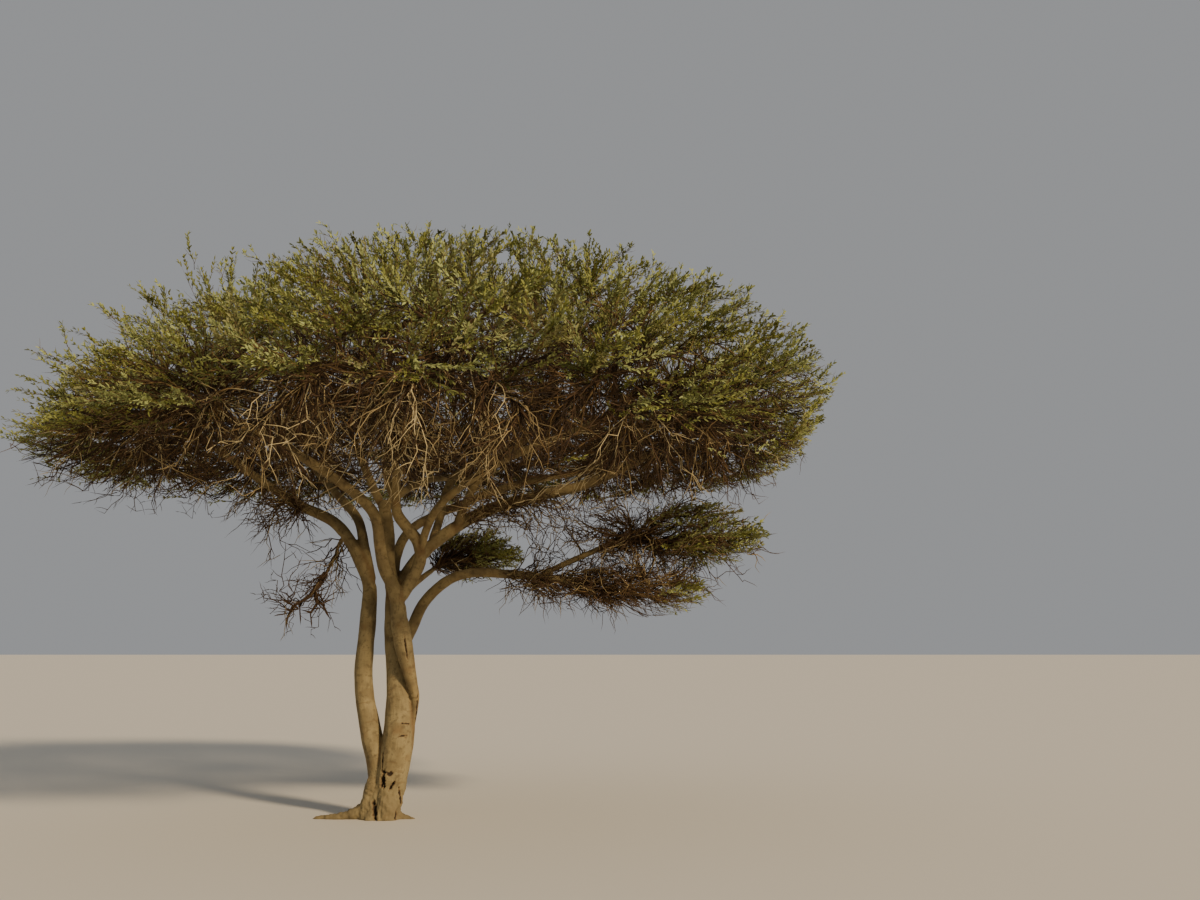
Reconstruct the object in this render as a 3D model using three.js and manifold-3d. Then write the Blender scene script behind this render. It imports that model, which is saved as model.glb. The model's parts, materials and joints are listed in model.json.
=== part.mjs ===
// An umbrella thorn acacia that stands on level gravel. Two stems are grown together at the foot, a third
// twists up the front of the right one, and from chest height they part into boughs that carry a wide,
// flat-topped crown. Under the crown hang bare grey twigs, and one low branch reaches out to the right.
// Millimetres, +Z up. The tree is seen from -Y, with +X to the right and +Y away. The origin is on the
// flat cut at ground level under the trunk.
import * as THREE from "three";
import { mergeVertices } from "three/addons/utils/BufferGeometryUtils.js";
import Module from "manifold-3d";

const wasm = await Module();
wasm.setup();

// The crown is a dome with a flat top. Its share is 0 on its axis and 1 at its rim. The rim is tilted: it
// is low on the left and high on the right.
const CROWN_CENTRE = [430, 0];
const CROWN_HALF_WIDTH = 3740;
const CROWN_HALF_DEPTH = 3550;
const CROWN_TOP = 5220;
const CROWN_RIM = 3500;
const CROWN_TILT = 450;
const DOME_ROUNDNESS = 2.3;
const DOME_FLATNESS = 0.6;
const RIM_CURL = 14;

// Where the ring of outer masses and the ring of inner masses stand, and where boughs enter them
const OUTER_SHARE = 0.76;
const INNER_SHARE = 0.33;
const OUTER_ENTRY_SHARE = 0.57;
const OUTER_ENTRY_HEIGHT = 3430;
const INNER_ENTRY_SHARE = 0.24;
const INNER_ENTRY_HEIGHT = 3480;
const OUTER_TIPS = 11;
const OUTER_BARE_TIPS = 4;
const INNER_TIPS = 9;
const INNER_BARE_TIPS = 3;

// Twigs and fans of leaves
const TIP_RADIUS = 9;
const PIPE_POWER = 0.46;
const FORK_SHARE = 0.42;
const WANDER = 0.09;
const TIPS_TRIED = 60;
const TIP_MARGIN = 165;
const OUTER_FAN = 760;
const INNER_FAN = 720;
const LOW_FAN = 430;
const FAN_THICKNESS = 110;
const FAN_RAYS = 5;
const FAN_SPREAD = THREE.MathUtils.degToRad(60);
const FAN_HUB_SHARE = 0.2;
const FAN_NOTCH_SHARE = 0.62;
const FAN_SHOULDER_SHARE = 0.42;
const FAN_SHOULDER_ANGLE = 0.5;
const FANS_TRIED = 12;
const FAN_CRINKLE = 45;
const FAN_SINK = 60;
const SHORTEST_RAY = 0.35;
const BARE_LENGTH = 420;
const BARE_RADIUS = 7;
const SHELL_OUTSIDE = 340;
const SHELL_INSIDE = 800;
const BARE_DEPTH = 520;
const BARE_SHARE = 0.86;
const BARE_MARGIN = 40;
const LEAF_DROOP = 120;
const FOCUS_DEPTH = 350;
const LEVEL_SHARE = 0.5;
const RIM_PULL = 0.25;

// Clearances
const GAP = 0.35;
const WALL_CLEARANCE = 9;
const LIMB_CLEARANCE = 12;

// Edges shorter than this are merged away where twigs are joined
const SHORTEST_EDGE = 0.3;

// The trunk
const FORK_HEIGHT = 750;
const FLARE_TOP = 560;
const FLARE_CORE = 140;
const FLARE_HEIGHT = 130;
const FLARE_SPREAD = 62;
const FLARE_LOBES = 5;
const GROUND_SINK = 60;
const WIDEST = 9000;

const UP = new THREE.Vector3(0, 0, 1);
const bark = new THREE.MeshStandardMaterial({ color: 0xa08a5c, roughness: 0.85, metalness: 0 });
const deadWood = new THREE.MeshStandardMaterial({ color: 0x5e4a35, roughness: 0.9, metalness: 0 });
const leaves = new THREE.MeshStandardMaterial({ color: 0x6c6a30, roughness: 0.7, metalness: 0 });

const vector = (p) => new THREE.Vector3(p[0], p[1], p[2]);

// Seeded random numbers from 0 to 1, the same on every run
function randomFrom(seed) {
  let state = seed >>> 0;
  return () => {
    state = (state + 0x6d2b79f5) >>> 0;
    let t = state;
    t = Math.imul(t ^ (t >>> 15), t | 1);
    t ^= t + Math.imul(t ^ (t >>> 7), t | 61);
    return ((t ^ (t >>> 14)) >>> 0) / 4294967296;
  };
}

// A closed three.js geometry as a solid that can be cut and joined
function solidOf(geometry) {
  const bare = geometry.index ? geometry.toNonIndexed() : geometry.clone();
  bare.deleteAttribute("normal");
  bare.deleteAttribute("uv");
  const merged = mergeVertices(bare, 1e-3);
  return new wasm.Manifold(
    new wasm.Mesh({
      numProp: 3,
      vertProperties: new Float32Array(merged.getAttribute("position").array),
      triVerts: new Uint32Array(merged.index.array),
    }),
  );
}

// The largest piece of a solid, without loose scraps and with sealed hollows filled
function largestPiece(solid) {
  return solid.decompose().reduce((best, piece) => (piece.volume() > best.volume() ? piece : best));
}

function meshOf(name, solid, material) {
  const cut = solid.getMesh();
  const positions = new Float32Array(cut.numVert * 3);
  for (let i = 0; i < cut.numVert; i++) {
    positions.set(cut.vertProperties.subarray(i * cut.numProp, i * cut.numProp + 3), i * 3);
  }
  const geometry = new THREE.BufferGeometry();
  geometry.setAttribute("position", new THREE.BufferAttribute(positions, 3));
  geometry.setIndex(new THREE.BufferAttribute(new Uint32Array(cut.triVerts), 1));
  const mesh = new THREE.Mesh(geometry, material);
  mesh.name = name;
  return mesh;
}

// A closed tube through stations, each with its point, the way along, and its radius for a turn round it
function tube(stations, sides) {
  const geometry = new THREE.CylinderGeometry(1, 1, 1, sides, stations.length - 1);
  const position = geometry.getAttribute("position");
  const side = Math.abs(stations[0].along.z) > 0.9 ? new THREE.Vector3(1, 0, 0) : UP.clone();
  const frames = stations.map(({ along }) => {
    side.addScaledVector(along, -side.dot(along)).normalize();
    return { side: side.clone(), across: new THREE.Vector3().crossVectors(along, side) };
  });
  for (let i = 0; i < position.count; i++) {
    const step = Math.round((position.getY(i) + 0.5) * (stations.length - 1));
    const radius = stations[step].radiusAt(Math.atan2(position.getZ(i), position.getX(i)));
    const point = stations[step].point
      .clone()
      .addScaledVector(frames[step].side, position.getX(i) * radius)
      .addScaledVector(frames[step].across, -position.getZ(i) * radius);
    position.setXYZ(i, point.x, point.y, point.z);
  }
  return solidOf(geometry);
}

// Stations evenly along a curve
function stationsOn(curve, steps, radiusAt) {
  return Array.from({ length: steps + 1 }, (_, i) => ({
    point: curve.getPointAt(i / steps),
    along: curve.getTangentAt(i / steps),
    radiusAt: (turn) => radiusAt(i / steps, turn),
  }));
}

// A point of the crown by its compass direction, its share of the way out to the rim, and its height
function crownPoint(azimuth, share, height) {
  const turn = THREE.MathUtils.degToRad(azimuth);
  return new THREE.Vector3(
    CROWN_CENTRE[0] + share * CROWN_HALF_WIDTH * Math.cos(turn),
    CROWN_CENTRE[1] + share * CROWN_HALF_DEPTH * Math.sin(turn),
    height,
  );
}

function crownShare(p, inset) {
  return Math.hypot(
    (p.x - CROWN_CENTRE[0]) / (CROWN_HALF_WIDTH - inset),
    (p.y - CROWN_CENTRE[1]) / (CROWN_HALF_DEPTH - inset),
  );
}

const crownRim = (p) => CROWN_RIM + (CROWN_TILT * (p.x - CROWN_CENTRE[0])) / CROWN_HALF_WIDTH;

// Whether a point is inside the dome when that is made smaller by an inset
function inDome(p, inset, lift) {
  const share = crownShare(p, inset);
  if (share >= 1) return false;
  const full = CROWN_TOP + lift - inset - crownRim(p);
  return p.z < crownRim(p) + full * (1 - share ** DOME_ROUNDNESS) ** DOME_FLATNESS;
}

// The crown's underside, level but for its rim, which curls up
function crownUnder(p, under) {
  return under + Math.max(0, crownRim(p) - under) * Math.min(1, crownShare(p, 0)) ** RIM_CURL;
}

// Outer masses stand round the rim and inner ones round the axis. lift raises or lowers a mass's own part
// of the dome, under is how low its bare twigs hang, and leavesAbove is where its leaves begin.
const OUTER_MASSES = [
  { name: "foliage_right", azimuth: 0, lift: 0, under: 3060, leavesAbove: 3330, seed: 11 },
  { name: "foliage_back_right", azimuth: 45, lift: 0, under: 3100, leavesAbove: 3330, seed: 12 },
  { name: "foliage_back", azimuth: 90, lift: 0, under: 3100, leavesAbove: 3330, seed: 13 },
  { name: "foliage_back_left", azimuth: 135, lift: 150, under: 3080, leavesAbove: 3330, seed: 14 },
  { name: "foliage_left", azimuth: 180, lift: 200, under: 3040, leavesAbove: 3330, seed: 15 },
  { name: "foliage_front_left", azimuth: 225, lift: -330, under: 2960, leavesAbove: 3330, seed: 16 },
  { name: "foliage_front", azimuth: 270, lift: -40, under: 2760, leavesAbove: 3520, seed: 17 },
  { name: "foliage_front_right", azimuth: 315, lift: 0, under: 2860, leavesAbove: 3420, seed: 18 },
];
const INNER_MASSES = [
  { name: "foliage_inner_right", azimuth: 340, lift: 40, under: 3250, leavesAbove: 3600, seed: 21 },
  { name: "foliage_inner_back", azimuth: 70, lift: 60, under: 3300, leavesAbove: 3600, seed: 22 },
  { name: "foliage_inner_left", azimuth: 160, lift: 80, under: 3300, leavesAbove: 3600, seed: 23 },
  { name: "foliage_inner_front", azimuth: 250, lift: 20, under: 3100, leavesAbove: 3600, seed: 24 },
];
const CROWN_MASSES = [...OUTER_MASSES, ...INNER_MASSES];
for (const mass of OUTER_MASSES) {
  mass.centre = crownPoint(mass.azimuth, OUTER_SHARE, 0);
  mass.entry = crownPoint(mass.azimuth, OUTER_ENTRY_SHARE, OUTER_ENTRY_HEIGHT);
  mass.fanLength = OUTER_FAN;
  mass.tips = OUTER_TIPS;
  mass.bareTips = OUTER_BARE_TIPS;
}
for (const mass of INNER_MASSES) {
  mass.centre = crownPoint(mass.azimuth, INNER_SHARE, 0);
  mass.entry = crownPoint(mass.azimuth, INNER_ENTRY_SHARE, INNER_ENTRY_HEIGHT);
  mass.fanLength = INNER_FAN;
  mass.tips = INNER_TIPS;
  mass.bareTips = INNER_BARE_TIPS;
}
const crownMass = (name) => CROWN_MASSES.find((mass) => mass.name === name);

// The part of the crown that is nearer to a mass's own centre than to any other's
function crownSpace(mass) {
  const walls = CROWN_MASSES.filter((other) => other !== mass).map((other) => {
    const normal = mass.centre.clone().sub(other.centre).setZ(0).normalize();
    const middle = mass.centre.clone().add(other.centre).multiplyScalar(0.5);
    return { normal, offset: normal.dot(middle) };
  });
  const half = new THREE.Vector3(CROWN_HALF_WIDTH, CROWN_HALF_DEPTH, 0);
  return {
    leafFloor: mass.leavesAbove - LEAF_DROOP,
    low: new THREE.Vector3(CROWN_CENTRE[0], CROWN_CENTRE[1], mass.under).sub(half),
    high: new THREE.Vector3(CROWN_CENTRE[0], CROWN_CENTRE[1], CROWN_TOP + mass.lift).add(half),
    outward: (p) => {
      const away = p.clone().sub(mass.entry).add(new THREE.Vector3(0, 0, FOCUS_DEPTH)).normalize();
      const axis = new THREE.Vector3(CROWN_CENTRE[0], CROWN_CENTRE[1], p.z);
      away.addScaledVector(p.clone().sub(axis).divideScalar(CROWN_HALF_WIDTH), RIM_PULL);
      away.z *= LEVEL_SHARE;
      return away.normalize();
    },
    holds: (p, clearance) =>
      p.z > crownUnder(p, mass.under) &&
      inDome(p, 0, mass.lift) &&
      walls.every((wall) => wall.normal.dot(p) - wall.offset > clearance),
    leafy: (p) =>
      p.z > mass.leavesAbove &&
      inDome(p, SHELL_OUTSIDE, mass.lift) &&
      !inDome(p, SHELL_INSIDE, mass.lift),
    bare: (p) => p.z < crownUnder(p, mass.under) + BARE_DEPTH && crownShare(p, 0) < BARE_SHARE,
  };
}

// A space of its own below the crown, round like an egg
function eggSpace(mass) {
  const reach = (p) =>
    Math.hypot(...["x", "y", "z"].map((axis) => (p[axis] - mass.centre[axis]) / mass.half[axis]));
  return {
    leafFloor: mass.centre.z - mass.half.z,
    low: mass.centre.clone().sub(mass.half),
    high: mass.centre.clone().add(mass.half),
    outward: (p) => p.clone().sub(mass.entry).normalize(),
    holds: (p) => reach(p) < 1,
    leafy: (p) => reach(p) < 0.62 && p.distanceTo(mass.entry) > mass.half.x * mass.leavesFrom,
    bare: (p) => reach(p) < 0.8 && p.z < mass.centre.z,
  };
}

const FOOT = { left: [-72, 20, -GROUND_SINK], right: [0, -25, -GROUND_SINK] };

// Each limb has its route, its radii at even steps from one end to the other, and the crown mass that it
// feeds. A limb starts inside the one that it grows from.
const LIMBS = [
  {
    name: "stem_left",
    route: [FOOT.left, [-62, 12, 380], [-133, 0, 700], [-205, 20, 1020], [-245, 50, 1290], [-225, 95, 1750],
      [-205, 100, 2230]],
    radii: [112, 100, 102, 88, 84, 77, 68],
    sides: 9,
    steps: 12,
  },
  {
    name: "stem_right",
    route: [FOOT.right, [66, -35, 400], [114, -45, 740], [122, -30, 1060], [66, 25, 1400], [22, 75, 1700],
      [5, 125, 2120]],
    radii: [112, 142, 150, 138, 96, 84, 72],
    sides: 9,
    steps: 12,
  },
  {
    name: "stem_front",
    route: [[262, -100, 1110], [238, -135, 1225], [214, -155, 1330], [176, -172, 1490], [144, -178, 1660],
      [106, -170, 1850], [98, -160, 1990]],
    radii: [30, 50, 68, 86, 86, 80, 70],
    sides: 8,
    steps: 9,
  },
  {
    name: "bough_front_left",
    route: [[94, -162, 1960], [50, -200, 2120], [-25, -235, 2270], [-62, -275, 2470], [-100, -350, 2740],
      [-190, -440, 2870], [-480, -690, 3100], [-810, -1030, 3300]],
    into: "foliage_front_left",
    radii: [62, 56, 52, 46, 44, 42, 37],
    sides: 7,
    steps: 14,
  },
  {
    name: "bough_front_lower",
    route: [[100, -155, 1975], [150, -140, 2060], [215, -120, 2180], [288, -100, 2360], [262, -115, 2530],
      [165, -165, 2660], [85, -235, 2780], [80, -330, 2900]],
    radii: [58, 60, 60, 58, 56, 54, 50, 48],
    sides: 7,
    steps: 12,
  },
  {
    name: "bough_front",
    route: [[80, -325, 2885], [110, -520, 3040], [210, -1180, 3260]],
    into: "foliage_front",
    radii: [42, 38, 34],
    sides: 6,
    steps: 6,
  },
  {
    name: "bough_inner_front",
    route: [[70, -330, 2900], [0, -420, 3150]],
    into: "foliage_inner_front",
    radii: [40, 36],
    sides: 6,
    steps: 4,
  },
  {
    name: "bough_front_right",
    route: [[285, -105, 2400], [345, -190, 2620], [520, -430, 2860], [1080, -900, 3170]],
    into: "foliage_front_right",
    radii: [40, 38, 36, 34],
    sides: 6,
    steps: 8,
  },
  {
    name: "bough_middle",
    route: [[0, 115, 2080], [-25, 80, 2280], [-35, 60, 2470], [-60, 45, 2700], [-85, 20, 2890]],
    radii: [62, 56, 60, 66, 62],
    sides: 7,
    steps: 7,
  },
  {
    name: "bough_back",
    route: [[-80, 30, 2840], [-30, 420, 3020], [150, 1150, 3270]],
    into: "foliage_back",
    radii: [44, 40, 36],
    sides: 6,
    steps: 7,
  },
  {
    name: "bough_inner_left",
    route: [[-90, 30, 2850], [-210, 60, 3080]],
    into: "foliage_inner_left",
    radii: [42, 38],
    sides: 6,
    steps: 4,
  },
  {
    name: "bough_back_right",
    route: [[5, 140, 2100], [10, 240, 2420], [110, 400, 2680], [600, 760, 2990], [1100, 1080, 3220]],
    into: "foliage_back_right",
    radii: [50, 46, 42, 38, 34],
    sides: 6,
    steps: 9,
  },
  {
    name: "bough_right",
    route: [[15, 100, 2060], [110, 165, 2220], [245, 215, 2420], [440, 280, 2610], [830, 360, 2860],
      [1300, 370, 3000], [1850, 300, 3130]],
    into: "foliage_right",
    radii: [66, 64, 62, 58, 52, 46, 40],
    sides: 7,
    steps: 12,
  },
  {
    name: "bough_inner_right",
    route: [[560, 300, 2680], [690, 180, 2960], [880, 0, 3230]],
    into: "foliage_inner_right",
    radii: [42, 40, 38],
    sides: 6,
    steps: 6,
  },
  {
    name: "bough_inner_back",
    route: [[330, 245, 2500], [400, 400, 2800], [470, 560, 3160]],
    into: "foliage_inner_back",
    radii: [42, 40, 38],
    sides: 6,
    steps: 6,
  },
  {
    name: "bough_left",
    route: [[-222, 98, 2150], [-310, 120, 2355], [-420, 160, 2545], [-590, 215, 2740], [-960, 270, 2920],
      [-1380, 230, 3190]],
    into: "foliage_left",
    radii: [64, 60, 56, 50, 44, 40, 36],
    sides: 7,
    steps: 11,
  },
  {
    name: "bough_back_left",
    route: [[-208, 110, 2180], [-290, 170, 2500], [-380, 330, 2760], [-700, 800, 3080]],
    into: "foliage_back_left",
    radii: [54, 48, 44, 40, 36],
    sides: 6,
    steps: 9,
  },
  {
    name: "branch_low_right",
    route: [[120, 70, 1560], [190, 95, 1720], [290, 85, 1945], [430, 60, 2100], [580, 35, 2200],
      [790, 18, 2248], [1150, -8, 2228], [1500, -38, 2195], [1700, -65, 2150]],
    radii: [52, 54, 52, 49, 46, 44, 42, 38, 34],
    sides: 7,
    steps: 13,
  },
  {
    name: "branch_low_right_upper",
    route: [[1400, -28, 2210], [1560, -30, 2290], [1770, -20, 2385], [1960, 10, 2470]],
    radii: [26, 30, 29, 27],
    sides: 6,
    steps: 5,
  },
  {
    name: "branch_back_low",
    route: [[20, 150, 1960], [130, 420, 2130], [290, 850, 2330]],
    radii: [38, 34, 24],
    sides: 6,
    steps: 6,
  },
  {
    name: "branch_dead_left",
    route: [[-480, 175, 2620], [-545, 200, 2520], [-575, 190, 2400], [-650, 150, 2250]],
    radii: [20, 19, 18, 15],
    sides: 5,
    steps: 5,
  },
];

const LOW_MASSES = [
  {
    name: "foliage_low_right_upper",
    from: "branch_low_right_upper",
    centre: vector([2720, -20, 2600]),
    half: vector([840, 580, 330]),
    fanLength: LOW_FAN,
    leavesFrom: 0.5,
    tips: 10,
    bareTips: 4,
    seed: 31,
  },
  {
    name: "foliage_low_right_lower",
    from: "branch_low_right",
    centre: vector([2210, -80, 2060]),
    half: vector([800, 560, 255]),
    fanLength: LOW_FAN,
    leavesFrom: 0.75,
    tips: 6,
    bareTips: 6,
    seed: 32,
  },
  {
    name: "foliage_back_low",
    from: "branch_back_low",
    centre: vector([640, 1230, 2500]),
    half: vector([520, 460, 300]),
    fanLength: LOW_FAN,
    leavesFrom: 0.35,
    tips: 6,
    bareTips: 2,
    seed: 33,
  },
  {
    name: "dead_twigs_left",
    from: "branch_dead_left",
    centre: vector([-850, 60, 2040]),
    half: vector([480, 400, 480]),
    fanLength: LOW_FAN,
    leavesFrom: 9,
    tips: 0,
    bareTips: 13,
    seed: 34,
  },
];

// A bough that feeds a crown mass runs on to where it enters the mass.
for (const limb of LIMBS) {
  const points = limb.route.map(vector);
  if (limb.into) points.push(crownMass(limb.into).entry);
  limb.curve = new THREE.CatmullRomCurve3(points, false, "centripetal");
}

function radiusAlong(limb, share) {
  const place = share * (limb.radii.length - 1);
  const before = Math.min(Math.floor(place), limb.radii.length - 2);
  return THREE.MathUtils.lerp(limb.radii[before], limb.radii[before + 1], place - before);
}

// A limb as a solid, or the room it needs when it is grown by an extra on every side
function limbSolid(limb, extra) {
  const stations = stationsOn(limb.curve, limb.steps, (share) => radiusAlong(limb, share) + extra);
  stations[0].point.addScaledVector(stations[0].along, -extra);
  stations[limb.steps].point.addScaledVector(stations[limb.steps].along, extra);
  return tube(stations, limb.sides);
}

// A slab wider than the tree, from one height to another
function slab(low, high) {
  const geometry = new THREE.BoxGeometry(WIDEST, WIDEST, high - low);
  return solidOf(geometry.translate(0, 0, (low + high) / 2));
}

// The foot: both stems below the fork, the flare round them, and two roots that run along the ground
function trunkButt(stems) {
  const axis = new THREE.LineCurve3(vector([-46, -14, -GROUND_SINK]), vector([-12, -14, FLARE_TOP]));
  const flareRadius = (share, turn) => {
    const above = Math.max(0, share * (FLARE_TOP + GROUND_SINK) - GROUND_SINK);
    const lobe = 1 + 0.35 * Math.cos(FLARE_LOBES * turn);
    return FLARE_CORE * (1 - 0.45 * share) + FLARE_SPREAD * lobe * Math.exp(-above / FLARE_HEIGHT);
  };
  const roots = [
    { route: [[-90, -30, 90], [-300, -55, 36], [-620, -75, -12]], radii: [95, 58, 26] },
    { route: [[60, -20, 60], [190, -30, 18], [380, -45, -14]], radii: [80, 42, 20] },
    { route: [[-60, 60, 80], [-160, 230, 26], [-230, 380, -12]], radii: [90, 52, 22] },
  ].map((root) => {
    const curve = new THREE.CatmullRomCurve3(root.route.map(vector));
    return tube(stationsOn(curve, 3, (share) => radiusAlong(root, share)), 6);
  });
  const flare = tube(stationsOn(axis, 4, flareRadius), 12);
  return [flare, ...roots, ...stems].reduce((a, b) => a.add(b));
}

const limbNamed = (name) => LIMBS.find((limb) => limb.name === name);

// Each limb is cut clear of all that come before it, so it starts on the bark of the one it grows from.
function buildLimbs() {
  const meshes = [];
  const below = slab(0, FORK_HEIGHT);
  const above = slab(FORK_HEIGHT + GAP, WIDEST);
  const stems = ["stem_left", "stem_right"].map((name) => limbSolid(limbNamed(name), 0));
  meshes.push(meshOf("trunk_butt", largestPiece(trunkButt(stems).intersect(below)), bark));
  const cutters = [];
  for (const limb of LIMBS) {
    let solid = limbSolid(limb, 0).intersect(above);
    for (const cutter of cutters) solid = solid.subtract(cutter);
    meshes.push(meshOf(limb.name, largestPiece(solid), limb.name.includes("dead") ? deadWood : bark));
    cutters.push(limbSolid(limb, GAP));
  }
  return meshes;
}

// Where a mass starts: just clear of its bough's tip, going the way the bough goes
function startOf(mass) {
  const limb = mass.from ? limbNamed(mass.from) : LIMBS.find((one) => one.into === mass.name);
  const direction = limb.curve.getTangentAt(1);
  return { limb, direction, point: limb.curve.getPointAt(1).addScaledVector(direction, GAP) };
}

const LIMB_SAMPLES = 28;
const OWN_TIP_SHARE = 0.8;
const limbSamples = LIMBS.flatMap((limb) =>
  Array.from({ length: LIMB_SAMPLES + 1 }, (_, i) => ({
    limb,
    share: i / LIMB_SAMPLES,
    point: limb.curve.getPointAt(i / LIMB_SAMPLES),
    radius: radiusAlong(limb, i / LIMB_SAMPLES),
  })),
);

// Whether a twig comes too near a limb. The tip of its own limb doesn't count.
function touchesLimb(from, to, radius, own) {
  const line = new THREE.Line3(from, to);
  const nearest = new THREE.Vector3();
  return limbSamples.some((sample) => {
    if (sample.limb === own && sample.share > OWN_TIP_SHARE) return false;
    line.closestPointToPoint(sample.point, true, nearest);
    return nearest.distanceTo(sample.point) < sample.radius + radius + LIMB_CLEARANCE;
  });
}

// A tapering twig through points
function twigSolid(twig) {
  const { points, radii } = twig;
  const last = points.length - 1;
  const stations = points.map((point, i) => {
    const along = points[Math.min(i + 1, last)].clone().sub(points[Math.max(i - 1, 0)]).normalize();
    return { point, along: (i === 0 && twig.start) || along, radiusAt: () => radii[i] };
  });
  return tube(stations, twig.start ? 5 : 3);
}

// A fan of leaf sprays: rays spread from one root in a crinkled sheet, thickest at the hub, that keeps to
// the space. Each ray is as long as fits. The points are the outline and then the two hubs.
function planFan(root, way, turn, longest, space, random) {
  const side = new THREE.Vector3().crossVectors(turn, way).normalize();
  const at = (angle, distance, lift) =>
    root
      .clone()
      .addScaledVector(way, distance * Math.cos(angle))
      .addScaledVector(side, distance * Math.sin(angle))
      .addScaledVector(turn, lift);
  const fits = (point) =>
    point.z > space.leafFloor &&
    space.holds(point, WALL_CLEARANCE) &&
    !touchesLimb(root, point, FAN_THICKNESS / 3, null);
  const middle = (FAN_RAYS - 1) / 2;
  const rays = Array.from({ length: FAN_RAYS }, (_, i) => {
    const angle = FAN_SPREAD * (i / middle - 1) + (random() - 0.5) * 0.2;
    const lift = (i % 2 ? 1 : -1) * FAN_CRINKLE * random();
    let length = longest * (0.9 + 0.3 * random()) * (1 - 0.12 * Math.abs(i - middle));
    while (length > SHORTEST_RAY * longest && !fits(at(angle, length, lift))) length *= 0.92;
    return { angle, length, point: at(angle, length, lift) };
  });
  const shoulder = (ray, outer) =>
    at(ray.angle + outer * FAN_SHOULDER_ANGLE, FAN_SHOULDER_SHARE * ray.length, 0);
  const outline = [root, shoulder(rays[0], -1)];
  rays.forEach((ray, i) => {
    outline.push(ray.point);
    const next = rays[i + 1];
    if (!next) return;
    const notch = FAN_NOTCH_SHARE * Math.min(ray.length, next.length);
    outline.push(at((ray.angle + next.angle) / 2, notch, FAN_CRINKLE * (random() - 0.5)));
  });
  outline.push(shoulder(rays[FAN_RAYS - 1], 1));
  const shortest = Math.min(...rays.map((ray) => ray.length));
  const hubs = [1, -1].map((sign) => at(0, FAN_HUB_SHARE * shortest, (sign * FAN_THICKNESS) / 2));
  const points = [...outline, ...hubs];
  const reach = rays.reduce((sum, ray) => sum + ray.length, 0);
  return { points, reach: points.slice(1).every(fits) ? reach : 0 };
}

function fanSolid(points) {
  const count = points.length - 2;
  const faces = Array.from({ length: count }, (_, i) => {
    const next = (i + 1) % count;
    return [i, next, count, next, i, count + 1];
  });
  const geometry = new THREE.BufferGeometry().setFromPoints(points);
  geometry.setIndex(faces.flat());
  return solidOf(geometry);
}

// Of several fans at a tip, the one whose rays reach furthest in all
function bestFan(tip, along, longest, space, random) {
  const outward = space.outward(tip).lerp(along, 0.25).normalize();
  let best = { reach: 0 };
  for (let i = 0; i < FANS_TRIED; i++) {
    const loose = new THREE.Vector3(random() - 0.5, random() - 0.5, random() - 0.5);
    const way = outward.clone().addScaledVector(loose, (2 * i) / FANS_TRIED).normalize();
    const root = tip.clone().addScaledVector(way, -FAN_SINK);
    const fan = planFan(root, way, fanTurn(way, random), longest, space, random);
    if (fan.reach > best.reach * 1.08) best = fan;
  }
  return best.reach ? fanSolid(best.points) : null;
}

// Tips lie where the space is leafy or bare. Each is the one of many tries that is furthest from the rest.
function chooseTips(space, random, count, wanted, margin) {
  const tips = [];
  const size = space.high.clone().sub(space.low);
  while (tips.length < count) {
    let best = null;
    let bestDistance = -1;
    for (let tries = 0, found = 0; found < TIPS_TRIED && tries < 200 * TIPS_TRIED; tries++) {
      const p = new THREE.Vector3(random(), random(), random()).multiply(size).add(space.low);
      if (!space.holds(p, margin) || !wanted(p)) continue;
      found += 1;
      const distance = Math.min(Infinity, ...tips.map((tip) => tip.distanceTo(p)));
      if (distance > bestDistance) {
        best = p;
        bestDistance = distance;
      }
    }
    tips.push(best);
  }
  return tips;
}

const middleOf = (tips) =>
  tips.reduce((sum, tip) => sum.add(tip.point), new THREE.Vector3()).divideScalar(tips.length);

const furthestFrom = (point, tips) =>
  tips.reduce((far, tip) => (tip.point.distanceTo(point) > far.point.distanceTo(point) ? tip : far));

const radiusFor = (count) => TIP_RADIUS * count ** PIPE_POWER;

// A twig heads for the middle of the tips it feeds, and part of the way there it forks. It goes on to the
// larger group of tips, and a new twig starts inside it towards the other.
function grow(twig, tips, random, twigs) {
  const from = twig.points.at(-1);
  if (tips.length === 1) {
    twig.points.push(tips[0].point);
    twig.radii.push(TIP_RADIUS * 0.8);
    twig.tip = tips[0];
    return;
  }
  const middle = middleOf(tips);
  const stride = from.distanceTo(middle);
  const wander = new THREE.Vector3(random() - 0.5, random() - 0.5, random() - 0.5);
  const fork = from.clone().lerp(middle, FORK_SHARE).addScaledVector(wander, stride * WANDER);
  twig.points.push(fork);
  twig.radii.push(radiusFor(tips.length) * 0.95);
  const one = furthestFrom(middle, tips);
  const other = furthestFrom(one.point, tips);
  const near = tips.filter((tip) => tip.point.distanceTo(one.point) <= tip.point.distanceTo(other.point));
  const far = tips.filter((tip) => !near.includes(tip));
  const [larger, smaller] = near.length > far.length ? [near, far] : [far, near];
  grow(twig, larger, random, twigs);
  const startRadius = Math.min(radiusFor(smaller.length), radiusFor(tips.length) * 0.5);
  const sideTwig = { points: [fork], radii: [startRadius] };
  twigs.push(sideTwig);
  grow(sideTwig, smaller, random, twigs);
}

// The way round which a fan of sprays turns: near upright, so that sprays lie in flat layers
function fanTurn(direction, random) {
  const loose = new THREE.Vector3(random() - 0.5, random() - 0.5, 0.6 + 0.4 * random());
  loose.addScaledVector(direction, -loose.dot(direction));
  return loose.length() > 0.1 ? loose.normalize() : new THREE.Vector3(1, 0, 0);
}

function clearOfLimbs({ points, radii }, own) {
  return points.slice(1).every((point, i) => !touchesLimb(points[i], point, radii[i], own));
}

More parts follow.
